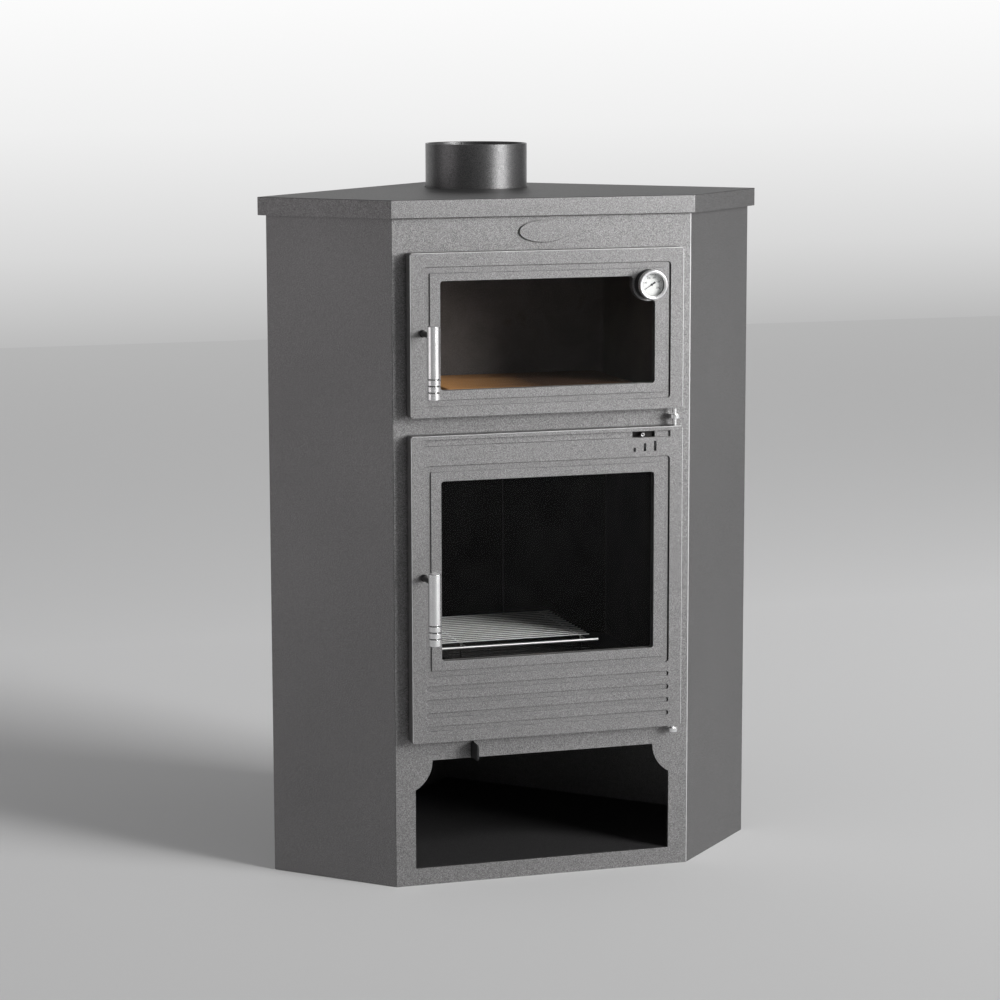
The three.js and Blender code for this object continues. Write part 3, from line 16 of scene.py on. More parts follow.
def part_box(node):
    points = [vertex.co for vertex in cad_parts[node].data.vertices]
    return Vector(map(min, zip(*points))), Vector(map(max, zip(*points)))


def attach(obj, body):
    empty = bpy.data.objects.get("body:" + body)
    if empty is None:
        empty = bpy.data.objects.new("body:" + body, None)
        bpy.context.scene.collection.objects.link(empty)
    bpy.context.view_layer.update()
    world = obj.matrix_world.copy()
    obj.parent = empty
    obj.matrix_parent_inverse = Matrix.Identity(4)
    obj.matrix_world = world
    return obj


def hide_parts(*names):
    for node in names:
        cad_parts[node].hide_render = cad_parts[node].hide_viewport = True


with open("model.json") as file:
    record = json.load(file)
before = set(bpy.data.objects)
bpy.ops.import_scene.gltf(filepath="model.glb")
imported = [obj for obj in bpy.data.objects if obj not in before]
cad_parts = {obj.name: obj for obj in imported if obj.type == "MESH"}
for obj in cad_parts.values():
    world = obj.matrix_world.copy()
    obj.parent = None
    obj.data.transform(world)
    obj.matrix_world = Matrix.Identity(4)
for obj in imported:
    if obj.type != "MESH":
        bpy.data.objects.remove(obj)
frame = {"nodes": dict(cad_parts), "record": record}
nodes = frame["nodes"]
scene = bpy.context.scene
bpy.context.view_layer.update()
UPWARDS = Vector((0, 0, 1))
TO_THE_FRONT = Vector((0, -1, 0))
TURN_TO_X = Matrix.Rotation(math.pi / 2, 4, "Y")
TURN_TO_Y = Matrix.Rotation(math.pi / 2, 4, "X")
print("nodes in the frame:", len(nodes))

# %% [markdown]
# ## The camera
# A long lens looks down on the stove by almost nine degrees from more than four metres away, which keeps
# the upright edges nearly parallel. It is turned by three angles, and its three axes follow from them.

# %% Stand the camera where the photograph was taken
PICTURE_SIZE = 1000
PICTURE_FOCAL = 3009.0
SENSOR = 36.0
CAMERA_PLACE = Vector((-1.29636, -4.17986, 1.18649))
CAMERA_TURN = math.radians(-17.264)
CAMERA_LIFT = math.radians(8.783)
CAMERA_ROLL = math.radians(-0.123)

backwards = Vector((
    math.sin(CAMERA_TURN) * math.cos(CAMERA_LIFT),
    -math.cos(CAMERA_TURN) * math.cos(CAMERA_LIFT),
    math.sin(CAMERA_LIFT),
))
level_right = UPWARDS.cross(backwards).normalized()
level_up = backwards.cross(level_right)
right = level_right * math.cos(CAMERA_ROLL) + level_up * math.sin(CAMERA_ROLL)
up = level_up * math.cos(CAMERA_ROLL) - level_right * math.sin(CAMERA_ROLL)

camera_data = bpy.data.cameras.new("camera")
camera_data.sensor_width = SENSOR
camera_data.lens = SENSOR * PICTURE_FOCAL / PICTURE_SIZE
camera = bpy.data.objects.new("camera", camera_data)
camera_axes = Matrix((right, up, backwards)).transposed().to_4x4()
camera.matrix_world = Matrix.Translation(CAMERA_PLACE) @ camera_axes
scene.collection.objects.link(camera)
scene.camera = camera
scene.view_settings.view_transform = "Standard"
print("lens", round(camera_data.lens, 1), "mm")

# %% [markdown]
# ## Small helpers for materials
# Every finish below is a node tree: a pattern, a ramp that gives it colour, a second pattern for the
# roughness and a bump. Short helpers keep those trees readable. The patterns read Object coordinates,
# which are the stove's own metres, so a grain of one millimetre is the same on every sheet. The Mix node
# has several sockets of one name, so its colours are found by number.

# %% Start a material and add its patterns
COLOUR_A = 6
COLOUR_B = 7
MIXED = 2


def start_material(title, colour, roughness, metallic=0.0):
    material = bpy.data.materials.new(title)
    material.use_nodes = True
    material.diffuse_color = (*colour, 1.0)
    shader = material.node_tree.nodes["Principled BSDF"]
    feed(shader, {"Base Color": (*colour, 1.0), "Roughness": roughness, "Metallic": metallic})
    return material, material.node_tree, shader, object_place(material.node_tree)


def feed(node, inputs):
    for name, value in inputs.items():
        if isinstance(value, bpy.types.NodeSocket):
            node.id_data.links.new(value, node.inputs[name])
        else:
            node.inputs[name].default_value = value


def place_node(tree, kind, inputs, **settings):
    node = tree.nodes.new(kind)
    for name, value in settings.items():
        setattr(node, name, value)
    feed(node, inputs)
    return node


def object_place(tree, stretch=(1.0, 1.0, 1.0)):
    where = place_node(tree, "ShaderNodeTexCoord", {}).outputs["Object"]
    return place_node(tree, "ShaderNodeMapping", {"Vector": where, "Scale": stretch}).outputs["Vector"]


def split_place(tree, place):
    return place_node(tree, "ShaderNodeSeparateXYZ", {"Vector": place}).outputs


def noise(tree, place, grains_per_metre, detail=2.0, roughness=0.5, distortion=0.0):
    inputs = {"Vector": place, "Scale": grains_per_metre, "Detail": detail}
    inputs.update({"Roughness": roughness, "Distortion": distortion})
    return place_node(tree, "ShaderNodeTexNoise", inputs).outputs["Fac"]


def ramp(tree, value, *stops):
    node = place_node(tree, "ShaderNodeValToRGB", {"Fac": value})
    elements = node.color_ramp.elements
    while len(elements) < len(stops):
        elements.new(0.5)
    for element, (position, colour) in zip(elements, stops):
        element.position = position
        element.color = (*colour, 1.0) if isinstance(colour, tuple) else (colour, colour, colour, 1.0)
    return node.outputs["Color"]


def shade(colour, factor):
    return tuple(channel * factor for channel in colour)


def maths(tree, operation, *values):
    return place_node(tree, "ShaderNodeMath", dict(enumerate(values)), operation=operation).outputs[0]


def map_range(tree, value, start, end, low=0.0, high=1.0):
    inputs = {"Value": value, "From Min": start, "From Max": end, "To Min": low, "To Max": high}
    return place_node(tree, "ShaderNodeMapRange", inputs).outputs["Result"]


def spread(tree, value, low, high):
    return map_range(tree, value, 0.0, 1.0, low, high)


def blend_colours(tree, first, second, share, mode="MIX"):
    inputs = {"Factor": share, COLOUR_A: first, COLOUR_B: second}
    settings = {"data_type": "RGBA", "blend_type": mode}
    return place_node(tree, "ShaderNodeMix", inputs, **settings).outputs[MIXED]


def bump(tree, shader, height, depth, strength):
    inputs = {"Height": height, "Distance": depth, "Strength": strength}
    if shader.inputs["Normal"].links:
        inputs["Normal"] = shader.inputs["Normal"].links[0].from_socket
    feed(shader, {"Normal": place_node(tree, "ShaderNodeBump", inputs).outputs["Normal"]})


print("material helpers ready")

# %% [markdown]
# ## Helpers for a finished material
# Three more helpers recolour a material that is already mixed; here they paint light and shade into it.
# The first lays a colour over a share of it. The second paints shade along one axis, with a wandering
# border. The third draws thin straight lines at given places, painted highlights and painted shade, and
# can keep them to one depth.

# %% Paint shade and lines of light and shade into a material
def recolour(material, share, colour, mode="MIX"):
    shader = material.node_tree.nodes["Principled BSDF"]
    plain = shader.inputs["Base Color"].links[0].from_socket
    feed(shader, {"Base Color": blend_colours(material.node_tree, plain, colour, share, mode)})


# Painted shade: lays a darker colour along one axis of the object's own coordinates, with a wandering
# border.
def stain_along(material, axis, start, end, stain_and_shade, wander):
    tree = material.node_tree
    place = object_place(tree)
    cloud = noise(tree, place, 16.0, 4.0, 0.6)
    wandering = maths(tree, "MULTIPLY_ADD", cloud, wander, split_place(tree, place)[axis])
    recolour(material, map_range(tree, wandering, start, end), (*stain_and_shade, 1.0))


def lined(material, lines, width, colour, depth=0.0, depth_width=1.0):
    tree = material.node_tree
    position = split_place(tree, object_place(tree))
    at_depth = maths(tree, "COMPARE", position["Y"], depth, depth_width)
    for axis, where in lines:
        near = maths(tree, "COMPARE", position[axis], where, width)
        recolour(material, maths(tree, "MULTIPLY", near, at_depth), (*colour, 1.0))


print("staining helpers ready")

# %% [markdown]
# ## The stage
# The stove stands on a long pale sweep: a grey floor that runs back about seven metres and turns up into a
# wall that grows lighter with height. One profile is extruded sideways to make both. The floor is matt and
# keeps the stove's shadow, but the camera sees it darker near the stove. A pale glow is mixed in, weakly on
# the far floor and fully on the wall. Only rays from the camera, from mirrors and through glass meet it, so
# it adds no light to the stove.

# %% Sweep the floor and the wall
SWEEP_HALF_WIDTH = 9.0
SWEEP_FRONT = -9.0
SWEEP_WALL = 7.42
SWEEP_BEND = 0.05
SWEEP_TOP = 6.0
LEVEL = 0.01
VERT = bmesh.types.BMVert
EDGE = bmesh.types.BMEdge


def only(kind, items):
    return [item for item in items if isinstance(item, kind)]


def pull_edges(work, edges, shift):
    pulled = bmesh.ops.extrude_edge_only(work, edges=edges)["geom"]
    moved = only(VERT, pulled)
    bmesh.ops.translate(work, vec=shift, verts=moved)
    return moved, [edge for edge in only(EDGE, pulled) if all(corner in moved for corner in edge.verts)]


sweep_mesh = bmesh.new()
front_corner = sweep_mesh.verts.new((-SWEEP_HALF_WIDTH, SWEEP_FRONT, 0))
back_corner = sweep_mesh.verts.new((-SWEEP_HALF_WIDTH, SWEEP_WALL - SWEEP_BEND, 0))
sweep_mesh.edges.new((front_corner, back_corner))
bend = bmesh.ops.spin(
    sweep_mesh, geom=[back_corner], cent=(-SWEEP_HALF_WIDTH, SWEEP_WALL - SWEEP_BEND, SWEEP_BEND),
    axis=(1, 0, 0), angle=math.pi / 2, steps=6,
)
risen = bmesh.ops.extrude_vert_indiv(sweep_mesh, verts=only(VERT, bend["geom_last"]))
bmesh.ops.translate(sweep_mesh, vec=(0, 0, SWEEP_TOP - SWEEP_BEND), verts=risen["verts"])
pull_edges(sweep_mesh, list(sweep_mesh.edges), (2 * SWEEP_HALF_WIDTH, 0, 0))
for face in sweep_mesh.faces:
    face.smooth = True
    face.normal_update()
backward = [face for face in sweep_mesh.faces if face.normal.z < -LEVEL or face.normal.y > LEVEL]
bmesh.ops.reverse_faces(sweep_mesh, faces=backward)
sweep_data = bpy.data.meshes.new("studio_sweep")
sweep_mesh.to_mesh(sweep_data)
sweep_mesh.free()
sweep = bpy.data.objects.new("studio_sweep", sweep_data)
scene.collection.objects.link(sweep)
print("sweep faces:", len(sweep_data.polygons))

# %% Give the sweep its greys
FLOOR_GREY = (0.50, 0.50, 0.505)
FLOOR_DARK_GREY = (0.485, 0.485, 0.49)
FLOOR_LIGHT_GREY = (0.515, 0.515, 0.52)
FLOOR_NEAR_GREY = 0.63
FLOOR_FAR_GREY = 1.0
FLOOR_GLOW = (0.47, 0.47, 0.47, 1.0)
FLOOR_GLOW_SHARE = 0.18
FLOOR_NEAR_Y = -1.2
FLOOR_FAR_Y = 1.6
WALL_STARTS = 0.002
WALL_GREYS = (0.50, 0.69, 0.87, 0.975)
WALL_GREY_HEIGHTS = (0.0, 0.34, 0.83, 1.35)

sweep_material, tree, shader, place = start_material("studio_paper", FLOOR_GREY, 0.9)
position = split_place(tree, place)
rays = place_node(tree, "ShaderNodeLightPath", {}).outputs

faint = noise(tree, place, 0.35, 3.0)
lit_tint = ramp(tree, faint, (0.35, FLOOR_DARK_GREY), (0.65, FLOOR_LIGHT_GREY))
depth = map_range(tree, position["Y"], FLOOR_NEAR_Y, FLOOR_FAR_Y)
seen_tint = ramp(tree, depth, (0.0, FLOOR_NEAR_GREY), (1.0, FLOOR_FAR_GREY))
floor_tint = blend_colours(tree, lit_tint, seen_tint, rays["Is Camera Ray"])
feed(shader, {"Base Color": floor_tint, "Specular IOR Level": 0.1})

height = map_range(tree, position["Z"], 0.0, WALL_GREY_HEIGHTS[-1])
stops = [(z / WALL_GREY_HEIGHTS[-1], grey) for z, grey in zip(WALL_GREY_HEIGHTS, WALL_GREYS)]
wall_tint = ramp(tree, height, *stops)
on_wall = maths(tree, "GREATER_THAN", position["Z"], WALL_STARTS)
glow_tint = blend_colours(tree, FLOOR_GLOW, wall_tint, on_wall)
glow = place_node(tree, "ShaderNodeEmission", {"Color": glow_tint}).outputs["Emission"]

far_share = map_range(tree, position["Y"], FLOOR_FAR_Y, SWEEP_WALL, FLOOR_GLOW_SHARE)
camera_or_mirror = maths(tree, "MAXIMUM", rays["Is Camera Ray"], rays["Is Glossy Ray"])
seen = maths(tree, "MAXIMUM", camera_or_mirror, rays["Is Transmission Ray"])
glow_share = maths(tree, "MULTIPLY", seen, maths(tree, "MAXIMUM", on_wall, far_share))
choice = place_node(tree, "ShaderNodeMixShader", {"Fac": glow_share, 1: shader.outputs["BSDF"], 2: glow})
feed(tree.nodes["Material Output"], {"Surface": choice.outputs["Shader"]})
sweep_data.materials.append(sweep_material)
print("stage material:", sweep_material.name)

# %% [markdown]
# ## Light
# The main panel stands in front of the stove and to its right. It lights the doors and throws the shadow to
# the left. A smaller one hangs above it, for the cooking plate. A weak broad one stands further round to
# the right, and its bright strip shows on the flue collar. A low, dim and slightly pink panel keeps the
# left side readable, and an even grey sky fills in the rest.

# %% Hang the four panels and set the sky
SKY_COLOUR = (0.185, 0.185, 0.18685, 1.0)
PALE_PINK = (1.0, 0.955, 0.975)


def light_panel(title, azimuth, distance, height, aim_height, size, watts, tint=(1.0, 1.0, 1.0)):
    lamp = bpy.data.lights.new(title, "AREA")
    lamp.color = tint
    lamp.shape = "RECTANGLE"
    lamp.size, lamp.size_y = size
    lamp.energy = watts
    turn = math.radians(azimuth)
    holder = bpy.data.objects.new(title, lamp)
    holder.location = (distance * math.sin(turn), -distance * math.cos(turn), height)
    aim = Vector((0, 0, aim_height)) - holder.location
    holder.rotation_euler = aim.to_track_quat("-Z", "Y").to_euler()
    scene.collection.objects.link(holder)


light_panel(
    "front_panel_light", azimuth=42, distance=8.0, height=2.3, aim_height=0.3, size=(3.6, 2.8), watts=540,
)
light_panel("high_panel", azimuth=40, distance=6.0, height=4.6, aim_height=0.6, size=(1.6, 1.6), watts=190)
light_panel("key_panel", azimuth=70, distance=8.0, height=2.3, aim_height=0.5, size=(4.6, 4.2), watts=28)
light_panel(
    "left_panel", azimuth=-84, distance=5.0, height=0.8, aim_height=0.4, size=(3.6, 1.8), watts=21,
    tint=PALE_PINK,
)

sky = scene.world or bpy.data.worlds.new("sky")
scene.world = sky
sky.use_nodes = True
feed(sky.node_tree.nodes["Background"], {"Color": SKY_COLOUR})
print("lamps:", [lamp.name for lamp in bpy.data.lights])

# %% [markdown]
# ## The grey stove paint
# The sheets carry a heat-proof paint with metal flakes. Close to, it is a grain of about a millimetre;
# from a few steps away it reads as a soft satin sheen. Two sizes of noise make the grain and drive the
# bump, so the sparkle sits on its bumps. A much larger and fainter noise keeps a big sheet from looking
# like a flat fill. A narrow pale line painted on the outer edges of the doors and of the front is a
# painted highlight. The right ends of the door grooves face away from the light: a painted dark line
# stands for their shade.

# %% Mix the grey paint
FLAKE_SHADE = 0.50
FLAKE_SHINE = 1.65


def flaked_paint(title, colour, roughness=0.50, metallic=0.90, grain_depth=0.00022):
    material, tree, shader, place = start_material(title, colour, roughness, metallic)
    fine = noise(tree, place, 1250.0, 2.0, 0.55)
    coarse = noise(tree, place, 640.0, 2.0, 0.5)
    clouds = noise(tree, place, 3.2, 3.0, 0.55)
    darker, lighter = shade(colour, FLAKE_SHADE), shade(colour, FLAKE_SHINE)
    flakes = ramp(tree, fine, (0.34, darker), (0.50, colour), (0.66, lighter))
    drift = ramp(tree, clouds, (0.3, 0.90), (0.7, 1.0))
    mixed = blend_colours(tree, flakes, drift, 1.0, "MULTIPLY")
    rough = spread(tree, coarse, roughness - 0.07, roughness + 0.07)
    feed(shader, {"Base Color": mixed, "Roughness": rough})
    bump(tree, shader, fine, grain_depth, 0.55)
    bump(tree, shader, coarse, grain_depth * 1.6, 0.35)
    return material


PAINT_GREY = (0.235, 0.232, 0.232)
DARK_GREY = (0.060, 0.059, 0.060)
FLUE_GREY = (0.130, 0.129, 0.130)
grey_paint = flaked_paint("grey_stove_paint", PAINT_GREY)
door_paint = flaked_paint("door_paint", PAINT_GREY)
front_paint = flaked_paint("front_paint", PAINT_GREY)
flue_paint = flaked_paint("flue_paint", FLUE_GREY, 0.36, 0.82, 0.00010)
lid_paint = flaked_paint("lid_paint", PAINT_GREY)
dark_paint = flaked_paint("dark_stove_paint", DARK_GREY, 0.55, 0.45)
print("paints:", grey_paint.name, dark_paint.name)

# %% Paint shade on the cooking surface, and lines of light and shade along the edges
TOP_SHADE_GREY = (0.102, 0.101, 0.101)
TOP_SHADE_STARTS = 0.0012
TOP_SHADE_ENDS = 0.0004
EDGE_HIGHLIGHT_GREY = (0.62, 0.62, 0.62)
EDGE_HIGHLIGHT_WIDTH = 0.0007
FRONT_EDGE_HIGHLIGHT_WIDTH = 0.00112
GROOVE_SHADE_BLACK = (0.035, 0.035, 0.035)
GROOVE_DEPTH = 0.002
GROOVE_SHADE_WIDTH = 0.0011
GROOVE_SHADE_INSET = 0.02027
GROOVE_SHADE_DEPTH = 0.0013
GROOVE_SHADE_REACH = 0.001

plate_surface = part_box("top_plate")[1].z
# Painted shade: the upward face of the top plate gets a darker grey than its rim, for the dimmer light it
# shows.
stain_along(
    lid_paint, "Z", plate_surface - TOP_SHADE_STARTS, plate_surface - TOP_SHADE_ENDS, TOP_SHADE_GREY, 0.0,
)
door_low, door_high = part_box("oven_door_frame")
fire_door_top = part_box("fire_door_frame")[1].z
# Painted highlight: pale lines on the outer edges of the doors, and below on the right edge of the front,
# where the rolled edges catch the light.
door_highlight_edges = (("X", door_low.x), ("X", door_high.x), ("Z", door_high.z), ("Z", fire_door_top))
lined(door_paint, door_highlight_edges, EDGE_HIGHLIGHT_WIDTH, EDGE_HIGHLIGHT_GREY, door_low.y, EDGE_HIGHLIGHT_WIDTH)
front_low, front_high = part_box("front_panel")
lined(front_paint, (("X", front_high.x),), FRONT_EDGE_HIGHLIGHT_WIDTH, EDGE_HIGHLIGHT_GREY, front_low.y, EDGE_HIGHLIGHT_WIDTH)
# Painted shade: a dark line at the right ends of the door grooves, which face away from the light.
groove_end_shade = (("X", -door_low.x - GROOVE_SHADE_INSET),)
groove_shade_middle = door_low.y + GROOVE_SHADE_DEPTH
lined(door_paint, groove_end_shade, GROOVE_SHADE_WIDTH, GROOVE_SHADE_BLACK, groove_shade_middle, GROOVE_SHADE_REACH)
print("edges lined:", len(door_highlight_edges), "on the doors, 1 on the front")

# %% [markdown]
# ## Steel and iron
# Heat turns bare sheet black-brown with rusty clouds. Castings are rough, with darker and brighter sand.
# The turned grips show fine scratches around them, the grill's wires along them. Satin black parts
# are smooth with a faint orange peel. Each has its own tree: one metal in four colours looks like plastic.

# %% Mix the metals
def heated_steel(title, colour, rust, roughness):
    material, tree, shader, place = start_material(title, colour, roughness, 0.55)
    clouds = noise(tree, place, 14.0, 5.0, 0.6, 0.4)
    grain = noise(tree, place, 520.0, 3.0, 0.6)
    tint = ramp(tree, clouds, (0.38, colour), (0.62, shade(colour, 1.35)), (0.8, rust))
    speck = ramp(tree, grain, (0.35, 0.75), (0.65, 1.0))
    mixed = blend_colours(tree, tint, speck, 1.0, "MULTIPLY")
    rough = spread(tree, clouds, roughness - 0.1, roughness + 0.15)
    feed(shader, {"Base Color": mixed, "Roughness": rough})
    bump(tree, shader, grain, 0.00025, 0.6)
    return material


def rough_casting(title, colour):
    material, tree, shader, place = start_material(title, colour, 0.7, 0.6)
    sand = noise(tree, place, 380.0, 4.0, 0.7)
    lumps = noise(tree, place, 60.0, 3.0, 0.5)
    tint = ramp(tree, sand, (0.3, shade(colour, 0.6)), (0.7, shade(colour, 1.5)))
    feed(shader, {"Base Color": tint, "Roughness": spread(tree, lumps, 0.55, 0.85)})
    bump(tree, shader, sand, 0.0005, 0.8)
    bump(tree, shader, lumps, 0.0012, 0.5)
    return material


def polished_steel(title, colour, roughness, stretch, metallic=1.0, depth=0.00003):
    material, tree, shader, place = start_material(title, colour, roughness, metallic)
    scratches = noise(tree, object_place(tree, stretch), 900.0, 3.0, 0.6)
    haze = noise(tree, place, 40.0, 2.0)
    tint = ramp(tree, haze, (0.3, shade(colour, 0.92)), (0.7, colour))
    rough = spread(tree, scratches, roughness - 0.05, roughness + 0.07)
    feed(shader, {"Base Color": tint, "Roughness": rough})
    bump(tree, shader, scratches, depth, 0.5)
    return material


def satin_black(title, colour, roughness):
    material, tree, shader, place = start_material(title, colour, roughness, 0.3)
    peel = noise(tree, place, 420.0, 2.0)
    dust = noise(tree, place, 90.0, 4.0, 0.7)
    tint = ramp(tree, dust, (0.35, colour), (0.75, shade(colour, 1.7)))
    rough = spread(tree, dust, roughness - 0.06, roughness + 0.1)
    feed(shader, {"Base Color": tint, "Roughness": rough})
    bump(tree, shader, peel, 0.0001, 0.4)
    return material


ALONG_X = (0.05, 1.0, 1.0)
AROUND_Z = (0.05, 0.05, 1.0)
EVEN = (1.0, 1.0, 1.0)
CHROME = (0.97, 0.97, 0.97)
sooty_steel = heated_steel("sooty_steel", (0.018, 0.017, 0.016), (0.035, 0.024, 0.017), 0.62)
bare_steel = heated_steel("bare_steel", (0.16, 0.155, 0.15), (0.20, 0.14, 0.10), 0.5)
oven_enamel = heated_steel("oven_enamel", (0.135, 0.118, 0.110), (0.115, 0.090, 0.075), 0.60)
cast_iron = rough_casting("grate_casting", (0.020, 0.019, 0.018))
grip_steel = polished_steel("grip_steel", CHROME, 0.20, AROUND_Z, 0.88, 0.00014)
bezel_steel = polished_steel("bezel_steel", CHROME, 0.28, EVEN, 0.78)
wire_steel = polished_steel("wire_steel", (0.95, 0.95, 0.94), 0.42, ALONG_X)
black_satin = satin_black("black_satin", (0.018, 0.018, 0.019), 0.38)
print("metals:", sooty_steel.name, cast_iron.name, grip_steel.name, black_satin.name)

# %% [markdown]
# ## Stone, glass and rope
# The fire is lined with porous board that soot has blackened, and the oven has a warm orange baking slab,
# with painted shade darkening its right. The windows are thin ceramic glass: a plain see-through mix, not a
# refracting one, because light has to reach the oven through them. The seals are braided rope.

# %% Mix the stones, the glass and the rope
STONE_SHADE_START = -0.11
STONE_SHADE_END = 0.03
STONE_SHADE = (0.075, 0.040, 0.022)
STONE_SHADE_WANDER = 0.05
PLAITS_PER_METRE = 130.0


def porous_stone(title, colour, stain_and_shade, pores_per_metre, depth):
    material, tree, shader, place = start_material(title, colour, 0.9)
    clouds = noise(tree, place, 11.0, 5.0, 0.6, 0.6)
    sand = noise(tree, place, 700.0, 3.0, 0.65)
    pores = place_node(tree, "ShaderNodeTexVoronoi", {"Vector": place, "Scale": pores_per_metre})
    pale = tuple(min(channel, 1.0) for channel in shade(colour, 1.18))
    tint = ramp(tree, clouds, (0.32, stain_and_shade), (0.60, colour), (0.8, pale))
    grain = ramp(tree, sand, (0.3, 0.80), (0.7, 1.0))
    mixed = blend_colours(tree, tint, grain, 1.0, "MULTIPLY")
    rough = spread(tree, sand, 0.78, 0.95)
    feed(shader, {"Base Color": mixed, "Roughness": rough, "Specular IOR Level": 0.2})
    bump(tree, shader, pores.outputs["Distance"], depth, 0.5)
    bump(tree, shader, sand, depth * 0.5, 0.6)
    return material


def window_glass(title, tint, opacity):
    material, tree, shader, place = start_material(title, tint, 0.04)
    material.surface_render_method = "DITHERED"
    smears = noise(tree, place, 9.0, 4.0, 0.6, 1.2)
    film = ramp(tree, smears, (0.3, tint), (0.8, shade(tint, 1.6)))
    rough = spread(tree, smears, 0.02, 0.10)
    feed(shader, {"Base Color": film, "Roughness": rough, "Alpha": opacity, "IOR": 1.5})
    return material


def braided_rope(title, colour):
    material, tree, shader, place = start_material(title, colour, 0.95)
    plaits = []
    for slope in (1.0, -1.0):
        slant = (0, slope * math.radians(45), 0)
        turned = place_node(tree, "ShaderNodeMapping", {"Vector": place, "Rotation": slant})
        inputs = {"Vector": turned.outputs["Vector"], "Scale": PLAITS_PER_METRE, "Distortion": 0.6}
        wave = place_node(tree, "ShaderNodeTexWave", inputs, wave_type="BANDS", bands_direction="X")
        plaits.append(wave.outputs["Fac"])
    crossing = maths(tree, "MULTIPLY", *plaits)
    fibres = noise(tree, place, 1500.0, 2.0)
    tint = ramp(tree, crossing, (0.0, shade(colour, 0.55)), (0.6, colour))
    feed(shader, {"Base Color": tint})
    bump(tree, shader, crossing, 0.0008, 0.9)
    bump(tree, shader, fibres, 0.0002, 0.5)
    return material


sooty_board = porous_stone("sooty_board", (0.017, 0.016, 0.015), (0.009, 0.008, 0.008), 240.0, 0.0003)
baking_stone = porous_stone("baking_stone", (0.92, 0.47, 0.18), (0.74, 0.38, 0.14), 420.0, 0.0003)
# Painted shade: the slab turns dark brown towards its right, where the door frame keeps the light off.
stain_along(baking_stone, "X", STONE_SHADE_START, STONE_SHADE_END, STONE_SHADE, STONE_SHADE_WANDER)
oven_window = window_glass("oven_window_glass", (0.010, 0.009, 0.008), 0.08)
fire_window = window_glass("fire_window_glass", (0.006, 0.006, 0.006), 0.09)
dial_window = window_glass("dial_window_glass", (0.60, 0.64, 0.64), 0.05)
seal_rope = braided_rope("seal_rope", (0.30, 0.295, 0.29))
print("stones and glass:", sooty_board.name, baking_stone.name, oven_window.name)

# %% [markdown]
# ## Rolled edges on the sheet parts
# A CAD solid ends in knife edges. Real sheet has a small round along every edge, which catches the light.
# Each sheet part is copied, its loose triangles are welded, flat faces are joined again, and a Bevel
# modifier rounds what is sharp. The copy stands in for its CAD node and rides on the same body. Pierced
# sheets keep their triangles, because the Bevel breaks a joined face with a hole in it. The very short
# edges in the grooves of the doors are merged, and the doors' Bevel isn't held back by what is left.

# %% Make a piece and dress CAD nodes
body_of_node = {
    node: body for body, members in frame["record"]["behaviour"]["bodies"].items() for node in members
}
WELD = 1e-6
SHORTEST_EDGE = 0.0003
PIERCED = ("fire_grate", "left_rear_panel", "right_rear_panel", "plinth_frame", "top_plate")
FLAT = math.radians(0.6)
SHARP = math.radians(28)


def make_piece(title, work, material, body, edge=0.0, steps=2, node=None, held=True):
    data = bpy.data.meshes.new(title)
    work.to_mesh(data)
    work.free()
    data.materials.append(material)
    for face in data.polygons:
        face.use_smooth = True
    piece = bpy.data.objects.new(title, data)
    scene.collection.objects.link(piece)
    if edge:
        rounding = piece.modifiers.new("rolled_edge", "BEVEL")
        rounding.width = edge
        rounding.segments = steps
        rounding.limit_method = "ANGLE"
        rounding.angle_limit = SHARP
        rounding.use_clamp_overlap = held
        rounding.miter_outer = "MITER_ARC"
        flattening = piece.modifiers.new("flat_faces", "WEIGHTED_NORMAL")
        flattening.mode = "FACE_AREA"
        flattening.weight = 100
    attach(piece, body)
    if node:
        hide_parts(node)
    return piece


def dress(names, material, edge, steps=2, held=True):
    for node in names:
        work = bmesh.new()
        work.from_mesh(nodes[node].data)
        bmesh.ops.remove_doubles(work, verts=work.verts, dist=WELD)
        if node not in PIERCED:
            bmesh.ops.dissolve_limit(work, angle_limit=FLAT, verts=work.verts, edges=work.edges)
        if not held:
            bmesh.ops.remove_doubles(work, verts=work.verts, dist=SHORTEST_EDGE)
        body = body_of_node[node]
        make_piece(node + "_dressed", work, material, body, edge, steps, node, held)
    print("dressed:", ", ".join(names))


print("body of the oven door frame:", body_of_node["oven_door_frame"])

# %% Dress the cabinet
FOLDED_EDGE = 0.0012
side_sheets = ("right_side_panel", "left_side_panel", "right_rear_panel", "left_rear_panel")
dress(["front_panel"], front_paint, FOLDED_EDGE)
dress(side_sheets, grey_paint, FOLDED_EDGE)
dress(["top_plate"], lid_paint, FOLDED_EDGE, 3)
dress(("plinth_frame", "niche_floor", "niche_roof"), dark_paint, 0.0006)

# %% Paint shade on the walls of the door grooves
GROOVE_SHADE_ZONE = 0.184

tree = door_paint.node_tree
position = split_place(tree, object_place(tree))
door_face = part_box("fire_door_frame")[0].y
depth = map_range(tree, position["Y"], door_face, door_face + GROOVE_DEPTH)
# Painted shade: the door paint darkens with depth into the grooves, where little light reaches.
wall_shade = ramp(tree, depth, (0.10, 1.0), (0.30, 0.20), (0.75, 0.20), (0.95, 0.97))
inside_shaded_grooves = maths(tree, "LESS_THAN", maths(tree, "ABSOLUTE", position["X"]), GROOVE_SHADE_ZONE)
recolour(door_paint, inside_shaded_grooves, wall_shade, "MULTIPLY")
print("groove walls darkened to", round(GROOVE_DEPTH * 1000, 1), "mm deep")

